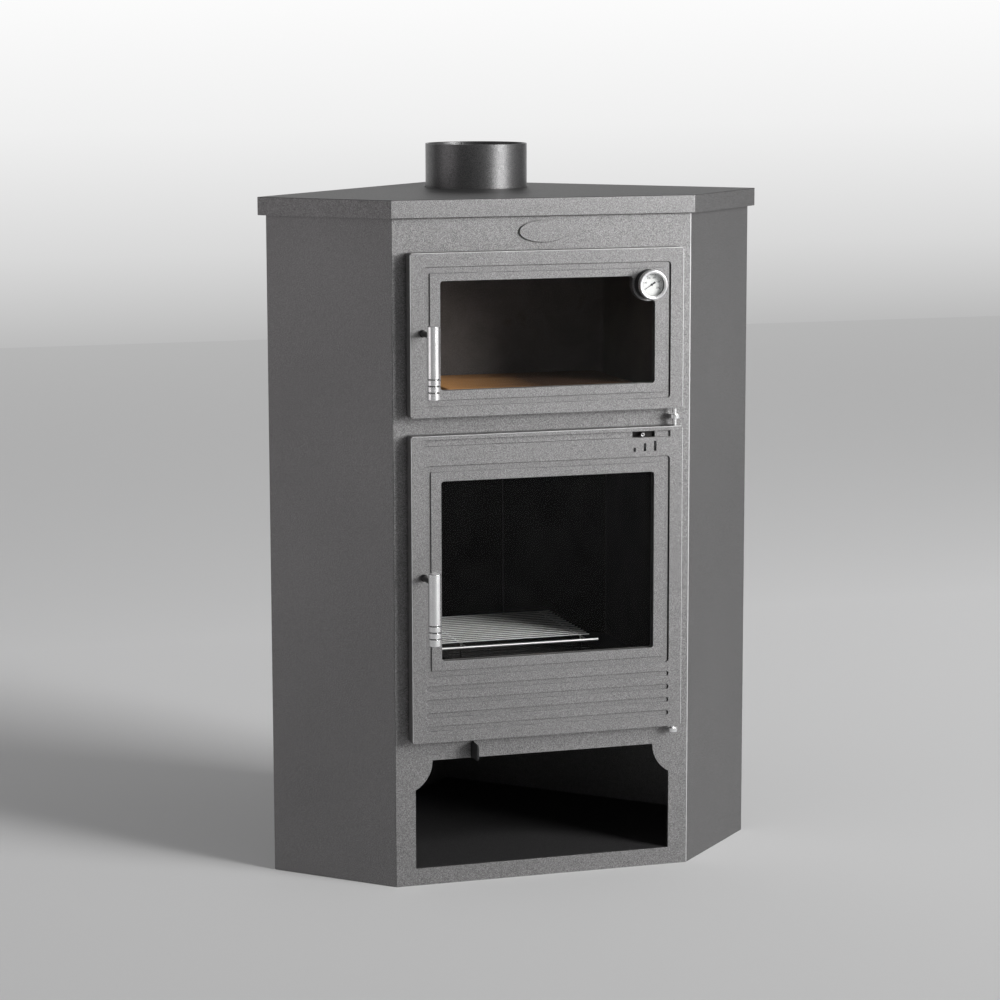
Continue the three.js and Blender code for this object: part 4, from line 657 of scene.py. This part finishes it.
# %% Dress the doors
DOOR_EDGE = 0.0005
cams_and_retainers = ("oven_glass_retainer", "fire_glass_retainer", "oven_latch_cam", "fire_latch_cam")
dress(("oven_door_frame", "fire_door_frame"), door_paint, DOOR_EDGE, held=False)
dress(cams_and_retainers, bare_steel, 0.0004)
dress(["oven_door_glass"], oven_window, 0.0003)
dress(["fire_door_glass"], fire_window, 0.0003)
dress(["secondary_air_slide"], sooty_steel, 0.0003)
dress(("oven_latch_hook", "fire_latch_hook"), wire_steel, 0.0003)

# %% Dress the inside
fire_sheets = (
    "firebox_floor", "right_inner_wall", "left_inner_wall", "right_angled_wall", "left_angled_wall",
    "rear_inner_wall", "smoke_chamber_ceiling", "hearth_plate", "ash_pan", "air_slider_guide",
)
oven_sheets = ("oven_floor", "oven_roof", "oven_left_wall", "oven_right_wall", "oven_back_wall")
lining = (
    "right_firebrick", "left_firebrick", "right_angled_firebrick", "left_angled_firebrick",
    "rear_firebrick", "smoke_baffle",
)
dress(fire_sheets, sooty_steel, 0.0005)
dress(oven_sheets, oven_enamel, 0.0005)
dress(lining, sooty_board, 0.0020, 3)
dress(["oven_stone"], baking_stone, 0.0016, 3)
dress(["fire_grate"], cast_iron, 0.0014, 3)
dress(["primary_air_slider"], black_satin, 0.0004)

# %% [markdown]
# ## Turned parts
# The flue collar, the grips, the stems, the hinge pins and the thermometer are round. Each is drawn as half
# of its section, a few points of radius and height, and spun once round its axis. Then the doubles are
# merged, the normals are set outwards, and a narrow bevel rounds the corners of the section.

# %% Spin a section into a round part
def put(work, verts, place, turn):
    bmesh.ops.transform(work, matrix=Matrix.Translation(place) @ turn, verts=verts)


def spin_section(section, centre, axis, steps):
    work = bmesh.new()
    points = [work.verts.new((radius, 0, rise)) for radius, rise in section]
    lines = [work.edges.new(pair) for pair in zip(points, points[1:])]
    bmesh.ops.spin(
        work, geom=points + lines, cent=(0, 0, 0), axis=(0, 0, 1), angle=math.tau, steps=steps,
        use_merge=True,
    )
    bmesh.ops.remove_doubles(work, verts=work.verts, dist=WELD)
    turn = UPWARDS.rotation_difference(axis).to_matrix().to_4x4()
    put(work, work.verts, centre, turn)
    bmesh.ops.recalc_face_normals(work, faces=work.faces)
    return work


def turned_piece(title, section, centre, axis, material, body, edge, steps, node=None):
    work = spin_section(section, centre, axis, steps)
    make_piece(title, work, material, body, edge, 3, node)


def add_work(work, other):
    spare = bpy.data.meshes.new("spare")
    other.to_mesh(spare)
    other.free()
    work.from_mesh(spare)
    bpy.data.meshes.remove(spare)


def thicken(work, shift):
    raised = bmesh.ops.extrude_face_region(work, geom=list(work.faces))
    bmesh.ops.translate(work, vec=shift, verts=only(VERT, raised["geom"]))


print("spinning helpers ready")

# %% The flue collar
collar_low, collar_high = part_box("flue_collar")
FLUE_RADIUS = 0.075
FLUE_WALL = 0.003
FLUE_BORE = FLUE_RADIUS - FLUE_WALL
FLUE_FLANGE = 0.013
collar_rise = collar_high.z - collar_low.z
collar_centre = Vector((0, (collar_low.y + collar_high.y) / 2, collar_low.z))
collar_section = [
    (FLUE_BORE, 0), (FLUE_RADIUS + FLUE_FLANGE, 0), (FLUE_RADIUS + FLUE_FLANGE, FLUE_WALL),
    (FLUE_RADIUS, FLUE_WALL), (FLUE_RADIUS, collar_rise), (FLUE_BORE, collar_rise), (FLUE_BORE, 0),
]
turned_piece(
    "flue_collar_turned", collar_section, collar_centre, UPWARDS, flue_paint, "stove_body",
    0.0006, 128, "flue_collar",
)

WELD_HALF_WIDTH = 0.0022
WELD_PROUD = 0.0007
weld = bmesh.new()
bead = bmesh.ops.create_cone(
    weld, cap_ends=True, segments=24, radius1=1.0, radius2=1.0, depth=collar_rise - 2 * FLUE_WALL,
)
bead_shape = Matrix.Diagonal((WELD_HALF_WIDTH, FLUE_WALL / 2 + WELD_PROUD, 1, 1))
weld_middle = collar_centre + Vector((0, FLUE_RADIUS - FLUE_WALL / 2, collar_rise / 2 + FLUE_WALL / 2))
put(weld, bead["verts"], weld_middle, bead_shape)
make_piece("flue_seam_weld", weld, flue_paint, "stove_body", 0.0004, 2)
print("flue collar rises", round(collar_rise * 1000), "mm")

# %% [markdown]
# ## Handles
# Each handle is a bright round grip with three turned rings near its lower end. It hangs on a black stem
# that comes out of a small collar on the door, and the whole handle turns with the stem. Painted dark
# lines over the rings stand for their shade.

# %% Turn the grips and the stems
GRIP_RINGS = 3
GRIP_RING_FIRST = 0.011
GRIP_RING_PITCH = 0.009
GRIP_RING_WIDTH = 0.0022
GRIP_RING_DEPTH = 0.0012
GRIP_RING_SLOPE = 0.0003
GRIP_ROUND = 0.0012
RING_SHADE_BLACK = (0.03, 0.03, 0.03)
RING_SHADE_WIDTH = GRIP_RING_WIDTH / 4
STEM_RADIUS = 0.0037
STEM_WAIST = 0.0008
STEM_FOOT_RADIUS = 0.0050
STEM_FOOT = 0.004
STEM_FOOT_ROUND = 0.001
SHAFT_RADIUS = 0.003
CLEARANCE = 0.0003


def grip_section(radius, length):
    section = [(0, 0), (radius - GRIP_ROUND, 0), (radius, GRIP_ROUND)]
    floor = radius - GRIP_RING_DEPTH
    for ring in range(GRIP_RINGS):
        start = GRIP_RING_FIRST + ring * GRIP_RING_PITCH - GRIP_RING_WIDTH / 2
        end = start + GRIP_RING_WIDTH
        section += [(radius, start), (floor, start + GRIP_RING_SLOPE)]
        section += [(floor, end - GRIP_RING_SLOPE), (radius, end)]
    return section + [(radius, length - GRIP_ROUND), (radius - GRIP_ROUND, length), (0, length)]


def stem_section(reach, inner_end):
    return [
        (0, -inner_end), (SHAFT_RADIUS, -inner_end), (SHAFT_RADIUS, 0), (STEM_FOOT_RADIUS, 0),
        (STEM_FOOT_RADIUS, STEM_FOOT - STEM_FOOT_ROUND), (STEM_FOOT_RADIUS - STEM_FOOT_ROUND, STEM_FOOT),
        (STEM_RADIUS + 0.0012, STEM_FOOT + 0.0003), (STEM_RADIUS, STEM_FOOT + 0.002),
        (STEM_RADIUS, reach * 0.5), (STEM_RADIUS - STEM_WAIST, reach * 0.62), (STEM_RADIUS, reach * 0.74),
        (STEM_RADIUS, reach), (0, reach),
    ]


joints = frame["record"]["behaviour"]["joints"]
turning_point = {joint["name"]: Vector(joint["pos_m"]) for joint in joints if "pos_m" in joint}
for door in ("oven", "fire"):
    body = door + "_handle"
    low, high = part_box(door + "_handle_grip")
    middle = (low + high) / 2
    radius = (high.y - low.y) / 2
    grip_foot = Vector((middle.x, middle.y, low.z))
    turned_piece(
        door + "_grip_turned", grip_section(radius, high.z - low.z), grip_foot, UPWARDS, grip_steel, body,
        0.00025, 64, door + "_handle_grip",
    )
    ring_shade_places = [("Z", low.z + GRIP_RING_FIRST + ring * GRIP_RING_PITCH) for ring in range(GRIP_RINGS)]
    # Painted shade: a dark line over each ring groove of the grips.
    lined(grip_steel, ring_shade_places, RING_SHADE_WIDTH, RING_SHADE_BLACK)
    stem_start = turning_point[door + "_handle_turn"] + TO_THE_FRONT * CLEARANCE
    reach = stem_start.y - middle.y - radius * 0.9
    inner_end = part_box(door + "_handle_stem")[1].y - stem_start.y
    turned_piece(
        door + "_stem_turned", stem_section(reach, inner_end), stem_start, TO_THE_FRONT, black_satin, body,
        0.0003, 48, door + "_handle_stem",
    )
print("grip radius", round(radius * 1000, 2), "mm, stem reach", round(reach * 1000, 1), "mm")

# %% [markdown]
# ## Hinges
# Three flat bars stand out of the front panel on the right, each with a pin. A bar starts as a circle: its
# rear half is pulled out square to the panel, and the shape is then thickened. The pin is spun, with
# slightly domed ends. The upper hinge is black, the other two are bright. Bar and pin are one fixed piece,
# so they share an object.

# %% Forge the hinge bars and pins
HINGE_BAR = 0.006
HINGE_BAR_HALF_WIDTH = 0.007
UPPER_BAR_RISE = 0.012
PIN_RADIUS = 0.003
PIN_DOME = 0.0006
PIN_DOME_RISE = 0.0008
ON_AXIS = 1e-5


def pin_section(span):
    return [
        (0, 0), (PIN_RADIUS - PIN_DOME, 0), (PIN_RADIUS, PIN_DOME_RISE),
        (PIN_RADIUS, span - PIN_DOME_RISE), (PIN_RADIUS - PIN_DOME, span), (0, span),
    ]


def hinge_piece(node, bar_foot, material):
    low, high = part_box(node)
    axis_x, axis_y = (low.x + high.x) / 2, low.y + HINGE_BAR_HALF_WIDTH
    bar = bmesh.new()
    disc = bmesh.ops.create_circle(bar, cap_ends=True, segments=48, radius=HINGE_BAR_HALF_WIDTH)
    for corner in [vertex.co for vertex in disc["verts"] if vertex.co.y > 0]:
        corner.y = high.y - axis_y
        corner.x = math.copysign(HINGE_BAR_HALF_WIDTH, corner.x) if abs(corner.x) > ON_AXIS else 0
    bmesh.ops.remove_doubles(bar, verts=bar.verts, dist=WELD)
    thicken(bar, (0, 0, HINGE_BAR))
    bmesh.ops.translate(bar, vec=(axis_x, axis_y, bar_foot), verts=bar.verts)
    bmesh.ops.recalc_face_normals(bar, faces=bar.faces)
    pin_foot = Vector((axis_x, axis_y, low.z))
    add_work(bar, spin_section(pin_section(high.z - low.z), pin_foot, UPWARDS, 32))
    make_piece(node + "_forged", bar, material, body_of_node[node], 0.0005, 3, node)


upper_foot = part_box("upper_hinge_bracket")[0].z + UPPER_BAR_RISE
middle_low, middle_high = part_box("middle_hinge_bracket")
middle_foot = (middle_low.z + middle_high.z - HINGE_BAR) / 2
lower_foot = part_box("lower_hinge_bracket")[0].z
hinge_piece("upper_hinge_bracket", upper_foot, black_satin)
hinge_piece("middle_hinge_bracket", middle_foot, grip_steel)
hinge_piece("lower_hinge_bracket", lower_foot, grip_steel)
print("hinge bars at", [round(foot, 3) for foot in (upper_foot, middle_foot, lower_foot)])

# %% [markdown]
# ## The oven thermometer
# A black barrel stands on the door with a bright pressed bezel on its mouth. Inside is a white dial with
# a printed scale in round hundreds, a pointer with a heavy tail, and a slightly domed glass. Barrel, bezel
# and glass are spun. The print is a set of very thin raised bars and figures on the dial.

# %% Turn the barrel, the bezel and the glass
case_low, case_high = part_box("thermometer_case")
bezel_low, bezel_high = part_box("thermometer_bezel")
dial_low, dial_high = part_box("thermometer_dial")
lens_low, lens_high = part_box("thermometer_lens")
gauge_x = (case_low.x + case_high.x) / 2
gauge_z = (case_low.z + case_high.z) / 2
BARREL_RADIUS = 0.0195
BARREL_WALL = 0.002
BARREL_BORE = BARREL_RADIUS - BARREL_WALL
BEZEL_RADIUS = 0.0209
BEZEL_MOUTH = 0.0158
PROBE_RADIUS = 0.003
flange_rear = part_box("oven_door_frame")[0].y - CLEARANCE
barrel_length = flange_rear - case_low.y
barrel_floor = flange_rear - dial_high.y - CLEARANCE
probe_length = case_high.y - flange_rear


def gauge_piece(title, section, rear, material, edge, part):
    foot = Vector((gauge_x, rear, gauge_z))
    node = "thermometer_" + part
    turned_piece(title, section, foot, TO_THE_FRONT, material, "oven_door", edge, 96, node)


barrel_section = [
    (0, -probe_length), (PROBE_RADIUS, -probe_length), (PROBE_RADIUS, 0), (BEZEL_RADIUS, 0),
    (BEZEL_RADIUS, BARREL_WALL), (BARREL_RADIUS, BARREL_WALL), (BARREL_RADIUS, barrel_length),
    (BARREL_BORE, barrel_length), (BARREL_BORE, barrel_floor), (0, barrel_floor),
]
gauge_piece("thermometer_barrel", barrel_section, flange_rear, black_satin, 0.0004, "case")

bezel_depth = bezel_high.y - bezel_low.y
skirt_bore = BARREL_RADIUS + CLEARANCE
bezel_section = [
    (skirt_bore, 0), (BEZEL_RADIUS, 0), (BEZEL_RADIUS, bezel_depth - 0.0018),
    (BEZEL_RADIUS - 0.0006, bezel_depth - 0.0006), (BEZEL_RADIUS - 0.0018, bezel_depth),
    (BEZEL_MOUTH + 0.0014, bezel_depth - 0.0002), (BEZEL_MOUTH + 0.0003, bezel_depth - 0.0009),
    (BEZEL_MOUTH, bezel_depth - 0.0018), (skirt_bore, bezel_depth - 0.002), (skirt_bore, 0),
]
gauge_piece(
    "thermometer_bezel_turned", bezel_section, bezel_high.y, bezel_steel, 0.0002, "bezel",
)

lens_depth = lens_high.y - lens_low.y
dome = ((0, 0), (1.0, 0), (1.0, 0.6), (0.8, 0.72), (0.5, 0.9), (0.2, 0.99), (0, 1.0))
lens_section = [(BARREL_RADIUS * out, lens_depth * rise) for out, rise in dome]
gauge_piece("thermometer_glass", lens_section, lens_high.y, dial_window, 0.0, "lens")
print("barrel stands out", round(barrel_length * 1000, 1), "mm")

# %% Mix the white dial and the ink
def printed_white(title, colour):
    material, tree, shader, place = start_material(title, colour, 0.42)
    fleck = noise(tree, place, 800.0, 2.0)
    tint = ramp(tree, fleck, (0.3, shade(colour, 0.94)), (0.7, colour))
    feed(shader, {"Base Color": tint, "Roughness": spread(tree, fleck, 0.36, 0.5)})
    bump(tree, shader, fleck, 0.00002, 0.3)
    return material


dial_white = printed_white("dial_white", (0.97, 0.97, 0.95))
dial_ink = satin_black("dial_ink", (0.012, 0.012, 0.013), 0.5)
print("dial finishes ready")

# %% Print the dial
SCALE_START = math.radians(213)
SCALE_SWEEP = math.radians(240)
SCALE_TOP = 500
SCALE_STEP = 20
FIGURE_STEP = 100
SCALE_RADIUS = 0.0150
LONG_TICK = (0.0024, 0.0007)
SHORT_TICK = (0.0012, 0.00035)
INK = 0.00008
FIGURE_RADIUS = 0.0101
FIGURE_HEIGHT = 0.0034

dial_radius = (dial_high.x - dial_low.x) / 2
dial_depth = dial_high.y - dial_low.y
dial_section = [(0, 0), (dial_radius, 0), (dial_radius, dial_depth), (0, dial_depth)]
gauge_piece("thermometer_dial_plate", dial_section, dial_high.y, dial_white, 0.00015, "dial")


def scale_angle(value):
    return SCALE_START - SCALE_SWEEP * value / SCALE_TOP


def on_dial(angle, radius):
    return Vector((gauge_x + radius * math.cos(angle), dial_low.y, gauge_z + radius * math.sin(angle)))


def add_block(work, place, size, turn=Matrix.Identity(4)):
    block = bmesh.ops.create_cube(work, size=1.0)
    put(work, block["verts"], place, turn @ Matrix.Diagonal((*size, 1.0)))


ticks = bmesh.new()
for value in range(0, SCALE_TOP + 1, SCALE_STEP):
    length, width = SHORT_TICK if value % FIGURE_STEP else LONG_TICK
    angle = scale_angle(value)
    tick_place = on_dial(angle, SCALE_RADIUS - length / 2)
    add_block(ticks, tick_place, (length, INK, width), Matrix.Rotation(-angle, 4, "Y"))
make_piece("dial_scale_marks", ticks, dial_ink, "oven_door")
print("scale marks:", SCALE_TOP // SCALE_STEP + 1)

# %% Print the figures
figures = bmesh.new()
for value in range(0, SCALE_TOP + 1, FIGURE_STEP):
    letters = bpy.data.curves.new("figure", "FONT")
    letters.body = str(value)
    letters.size = FIGURE_HEIGHT
    letters.align_x = "CENTER"
    letters.align_y = "CENTER"
    letters.extrude = INK / 2
    holder = bpy.data.objects.new("figure", letters)
    scene.collection.objects.link(holder)
    evaluated = holder.evaluated_get(bpy.context.evaluated_depsgraph_get())
    shape = bpy.data.meshes.new_from_object(evaluated)
    shape.transform(Matrix.Translation(on_dial(scale_angle(value), FIGURE_RADIUS)) @ TURN_TO_Y)
    figures.from_mesh(shape)
    bpy.data.objects.remove(holder)
    bpy.data.curves.remove(letters)
    bpy.data.meshes.remove(shape)
make_piece("dial_figures", figures, dial_ink, "oven_door")
print("figures from 0 to", SCALE_TOP)

# %% Cut the pointer
POINTER_REACH = 0.0122
POINTER_TAIL = 0.0062
POINTER_THICK = 0.0004
POINTER_REST = SCALE_START
HUB_FOOT = 0.0018
HUB_HEAD = 0.0014
HUB_HEIGHT = 0.0008

needle_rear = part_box("thermometer_needle")[1].y
pointer_axis = turning_point["thermometer_turn"]
pointer = bmesh.new()
outline = [
    (POINTER_REACH, 0.00018), (0.0016, 0.0006), (-0.0014, 0.0007), (-0.0022, 0.00115),
    (-POINTER_TAIL, 0.00125),
]
edge_points = outline + [(along, -across) for along, across in reversed(outline)]
pointer.faces.new([pointer.verts.new((along, 0, across)) for along, across in edge_points])
thicken(pointer, (0, -POINTER_THICK, 0))
hub = bmesh.ops.create_cone(
    pointer, cap_ends=True, segments=32, radius1=HUB_FOOT, radius2=HUB_HEAD, depth=HUB_HEIGHT,
)
put(pointer, hub["verts"], (0, -HUB_HEIGHT / 2, 0), TURN_TO_Y)
pointer_place = (pointer_axis.x, needle_rear, pointer_axis.z)
put(pointer, pointer.verts, pointer_place, Matrix.Rotation(-POINTER_REST, 4, "Y"))
bmesh.ops.recalc_face_normals(pointer, faces=pointer.faces)
make_piece(
    "thermometer_pointer_blade", pointer, dial_ink, "thermometer_pointer", 0.00008, 1,
    "thermometer_needle",
)
print("pointer rests at", round(math.degrees(POINTER_REST)), "degrees")

# %% [markdown]
# ## Marks, pin ring and screws
# Three marks, short to long, are pressed into the fire door under the air slot and filled with black. The
# slot's pin has a bright pressed ring. Screws hold the rear panels and the glass retainers. All are too
# small for the CAD model, and their places come from the pieces they belong to.

# %% Fill the marks and fit the ring
MARKS_FROM_RIGHT = 0.072
MARK_PITCH = 0.0153
MARK_WIDTH = 0.0028
MARK_HEIGHTS = (0.0052, 0.0112, 0.0140)
MARK_SLACK = 0.0004
MARKS_FROM_TOP = 0.0342
MARK_FLOOR = 0.0010
PIN_FROM_RIGHT = 0.0608
PIN_FROM_TOP = 0.0102
PIN_PROUD = 0.0020
fire_low, fire_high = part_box("fire_door_frame")
mark_y = fire_low.y + MARK_FLOOR - INK / 2

marks = bmesh.new()
for place_number, mark_height in enumerate(MARK_HEIGHTS):
    mark_x = fire_high.x - MARKS_FROM_RIGHT + place_number * MARK_PITCH
    mark_z = fire_high.z - MARKS_FROM_TOP + mark_height / 2
    add_block(marks, (mark_x, mark_y, mark_z), (MARK_WIDTH, INK, mark_height - MARK_SLACK))
make_piece("air_mark_filling", marks, dial_ink, "fire_door")

pin_front = Vector((fire_high.x - PIN_FROM_RIGHT, fire_low.y - PIN_PROUD, fire_high.z - PIN_FROM_TOP))
ring_section = [
    (0.0013, 0), (0.0027, 0), (0.0027, 0.0005), (0.0021, 0.0010), (0.0015, 0.0008), (0.0013, 0),
]
turned_piece(
    "air_pin_ring", ring_section, pin_front, TO_THE_FRONT, bezel_steel,
    body_of_node["secondary_air_slide"], 0.0001, 32,
)
print("marks filled:", len(MARK_HEIGHTS))

# %% Drive the screws
SCREW_RADIUS = 0.0042
SCREW_RISE = 0.0019
SOCKET_RADIUS = 0.0018
PANEL_SCREW_ROWS = 5
PANEL_SCREW_INSET = 0.014
PANEL_SCREW_END = 0.028
RETAINER_SCREW_SCALE = 0.55
RETAINER_SCREW_INSET = 0.003


def screw_section(scale):
    section = [
        (0, SCREW_RISE * 0.45), (SOCKET_RADIUS, SCREW_RISE * 0.45), (SOCKET_RADIUS, SCREW_RISE * 0.97),
        (SCREW_RADIUS * 0.62, SCREW_RISE * 0.90), (SCREW_RADIUS * 0.88, SCREW_RISE * 0.55),
        (SCREW_RADIUS, 0), (0, 0),
    ]
    return [(radius * scale, rise * scale) for radius, rise in section]


def screws(title, places, outward, scale, body, material):
    work = bmesh.new()
    for place in places:
        add_work(work, spin_section(screw_section(scale), place, outward, 24))
    make_piece(title, work, material, body, 0.0001 * scale, 2)


for side, panel in ((1, "right_rear_panel"), (-1, "left_rear_panel")):
    outward = Vector((side, 1, 0)).normalized()
    along = UPWARDS.cross(outward)
    corners = [vertex.co for vertex in nodes[panel].data.vertices]
    reach = max(corner.dot(outward) for corner in corners)
    start, end = (choose(corner.dot(along) for corner in corners) for choose in (min, max))
    panel_low, panel_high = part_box(panel)
    rise = (panel_high.z - panel_low.z - 2 * PANEL_SCREW_END) / (PANEL_SCREW_ROWS - 1)
    places = [
        outward * reach + along * shift + UPWARDS * (panel_low.z + PANEL_SCREW_END + row * rise)
        for row in range(PANEL_SCREW_ROWS)
        for shift in (start + PANEL_SCREW_INSET, end - PANEL_SCREW_INSET)
    ]
    screws(panel + "_screws", places, outward, 1.0, "stove_body", black_satin)

for door in ("oven", "fire"):
    low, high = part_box(door + "_glass_retainer")
    low_x, high_x = low.x + RETAINER_SCREW_INSET, high.x - RETAINER_SCREW_INSET
    low_z, high_z = low.z + RETAINER_SCREW_INSET, high.z - RETAINER_SCREW_INSET
    centre = (low + high) / 2
    spots = [(low_x, low_z), (low_x, high_z), (high_x, low_z), (low_x, centre.z), (high_x, centre.z)]
    spots += [(centre.x, low_z), (centre.x, high_z)]
    places = [Vector((x, high.y, z)) for x, z in spots]
    screws(
        door + "_retainer_screws", places, Vector((0, 1, 0)), RETAINER_SCREW_SCALE, door + "_door",
        bare_steel,
    )
print("screws on each rear panel:", 2 * PANEL_SCREW_ROWS)

# %% [markdown]
# ## The wire grill
# The grill is welded from round wire: a thick rod at the front, thin bars behind it that all run from side
# to side, two cross wires under them and four feet. A gap of two bars behind the rod leaves room for a
# hand. The wires lie inside the thicker ones of the CAD model. Each is a short cylinder with rounded ends.
# The feet and the cross wires under the bars are painted dark: painted shade.

# %% Weld the grill from wires
UNDER_BARS_SHADE = (0.012, 0.011, 0.011)
SHADE_BELOW_TOP = 0.0065
SHADE_FULL_BELOW_TOP = 0.0110
GRILL_ROD = 0.0022
GRILL_WIRE = 0.0010
GRILL_BARS = 18
HAND_GAP_BARS = (1, 2)
CROSS_WIRE_INSETS = (0.055, 0.015)
FOOT_INSETS = (0.035, 0.027)
grill_low, grill_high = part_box("wire_grill")
# Painted shade: everything below the top of the bars turns dark.
stain_along(wire_steel, "Z", grill_high.z - SHADE_BELOW_TOP, grill_high.z - SHADE_FULL_BELOW_TOP, UNDER_BARS_SHADE, 0.0)
rod_height = grill_high.z - GRILL_ROD
wire_height = rod_height - GRILL_WIRE
front_rod = grill_low.y + GRILL_ROD
rear_rod = grill_high.y - GRILL_ROD


def add_wire(work, start, end, radius, turn, segments=16):
    start, end = Vector(start), Vector(end)
    wire = bmesh.ops.create_cone(
        work, cap_ends=True, segments=segments, radius1=radius, radius2=radius, depth=(end - start).length,
    )
    put(work, wire["verts"], (start + end) / 2, turn)


grill = bmesh.new()
pitch = (rear_rod - front_rod) / (GRILL_BARS - 1)
bars = [bar for bar in range(GRILL_BARS) if bar not in HAND_GAP_BARS]
for bar in bars:
    radius = GRILL_WIRE if bar else GRILL_ROD
    y = front_rod + bar * pitch
    add_wire(grill, (grill_low.x, y, rod_height), (grill_high.x, y, rod_height), radius, TURN_TO_X, 20)
for x in (grill_low.x + CROSS_WIRE_INSETS[0], grill_high.x - CROSS_WIRE_INSETS[1]):
    add_wire(grill, (x, front_rod, wire_height), (x, rear_rod, wire_height), GRILL_WIRE, TURN_TO_Y)
    for y in (front_rod + FOOT_INSETS[0], rear_rod - FOOT_INSETS[1]):
        add_wire(grill, (x, y, grill_low.z), (x, y, wire_height), GRILL_WIRE, Matrix.Identity(4))
make_piece("wire_grill_welded", grill, wire_steel, "stove_body", 0.0006, 2, "wire_grill")
print("grill wires:", len(bars), "across, 2 under them")

# %% [markdown]
# ## Sealing ropes
# A braided rope lies in a groove round the back of each door. One round section is pulled along the lower
# run, swung round the corner, pulled up the side and so on, until it meets its own start.

# %% Lay the ropes in their grooves
ROPE_CORNER = 0.008
ROPE_WELD = 2e-5


def lay_rope(node, title):
    low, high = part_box(node)
    radius = (high.y - low.y) / 2
    middle_y = (low.y + high.y) / 2
    left, right_end = low.x + radius + ROPE_CORNER, high.x - radius - ROPE_CORNER
    bottom, top = low.z + radius + ROPE_CORNER, high.z - radius - ROPE_CORNER
    work = bmesh.new()
    ring = bmesh.ops.create_circle(work, cap_ends=False, segments=14, radius=radius)
    put(work, ring["verts"], (left, middle_y, bottom - ROPE_CORNER), TURN_TO_X)
    open_end = list(work.edges)
    runs = (
        ((right_end - left, 0, 0), (right_end, middle_y, bottom)),
        ((0, 0, top - bottom), (right_end, middle_y, top)),
        ((left - right_end, 0, 0), (left, middle_y, top)),
        ((0, 0, bottom - top), (left, middle_y, bottom)),
    )
    for run, corner in runs:
        moved, far_edges = pull_edges(work, open_end, run)
        swung = bmesh.ops.spin(
            work, geom=far_edges + moved, cent=corner, axis=TO_THE_FRONT, angle=math.pi / 2, steps=6,
        )
        open_end = only(EDGE, swung["geom_last"])
    bmesh.ops.remove_doubles(work, verts=work.verts, dist=ROPE_WELD)
    bmesh.ops.recalc_face_normals(work, faces=work.faces)
    return make_piece(title, work, seal_rope, body_of_node[node], node=node)


for door in ("oven", "fire"):
    rope = lay_rope(door + "_door_rope", door + "_rope_braid")
    print(rope.name, "faces", len(rope.data.polygons))

# %% [markdown]
# ## The bare oval plate
# Above the oven door a small oval plate is fixed on the front panel, bare and in the same paint. It only
# shows by the thin shadow along its edge, so it is a low disc with a rounded edge.

# %% Press the oval plate
PLATE_HALF_WIDTH = 0.036
PLATE_HALF_HEIGHT = 0.0155
PLATE_THICK = 0.0030
PLATE_HEIGHT = 0.9185

plate = bmesh.new()
oval = bmesh.ops.create_circle(plate, cap_ends=True, segments=96, radius=1.0)
bmesh.ops.scale(plate, vec=(PLATE_HALF_WIDTH, PLATE_HALF_HEIGHT, 1), verts=oval["verts"])
thicken(plate, (0, 0, PLATE_THICK))
put(plate, plate.verts, (0, front_low.y, PLATE_HEIGHT), TURN_TO_Y)
bmesh.ops.recalc_face_normals(plate, faces=plate.faces)
make_piece("bare_oval_plate", plate, grey_paint, "stove_body", 0.0007, 3)
print("oval plate", round(2000 * PLATE_HALF_WIDTH), "by", round(2000 * PLATE_HALF_HEIGHT), "mm")
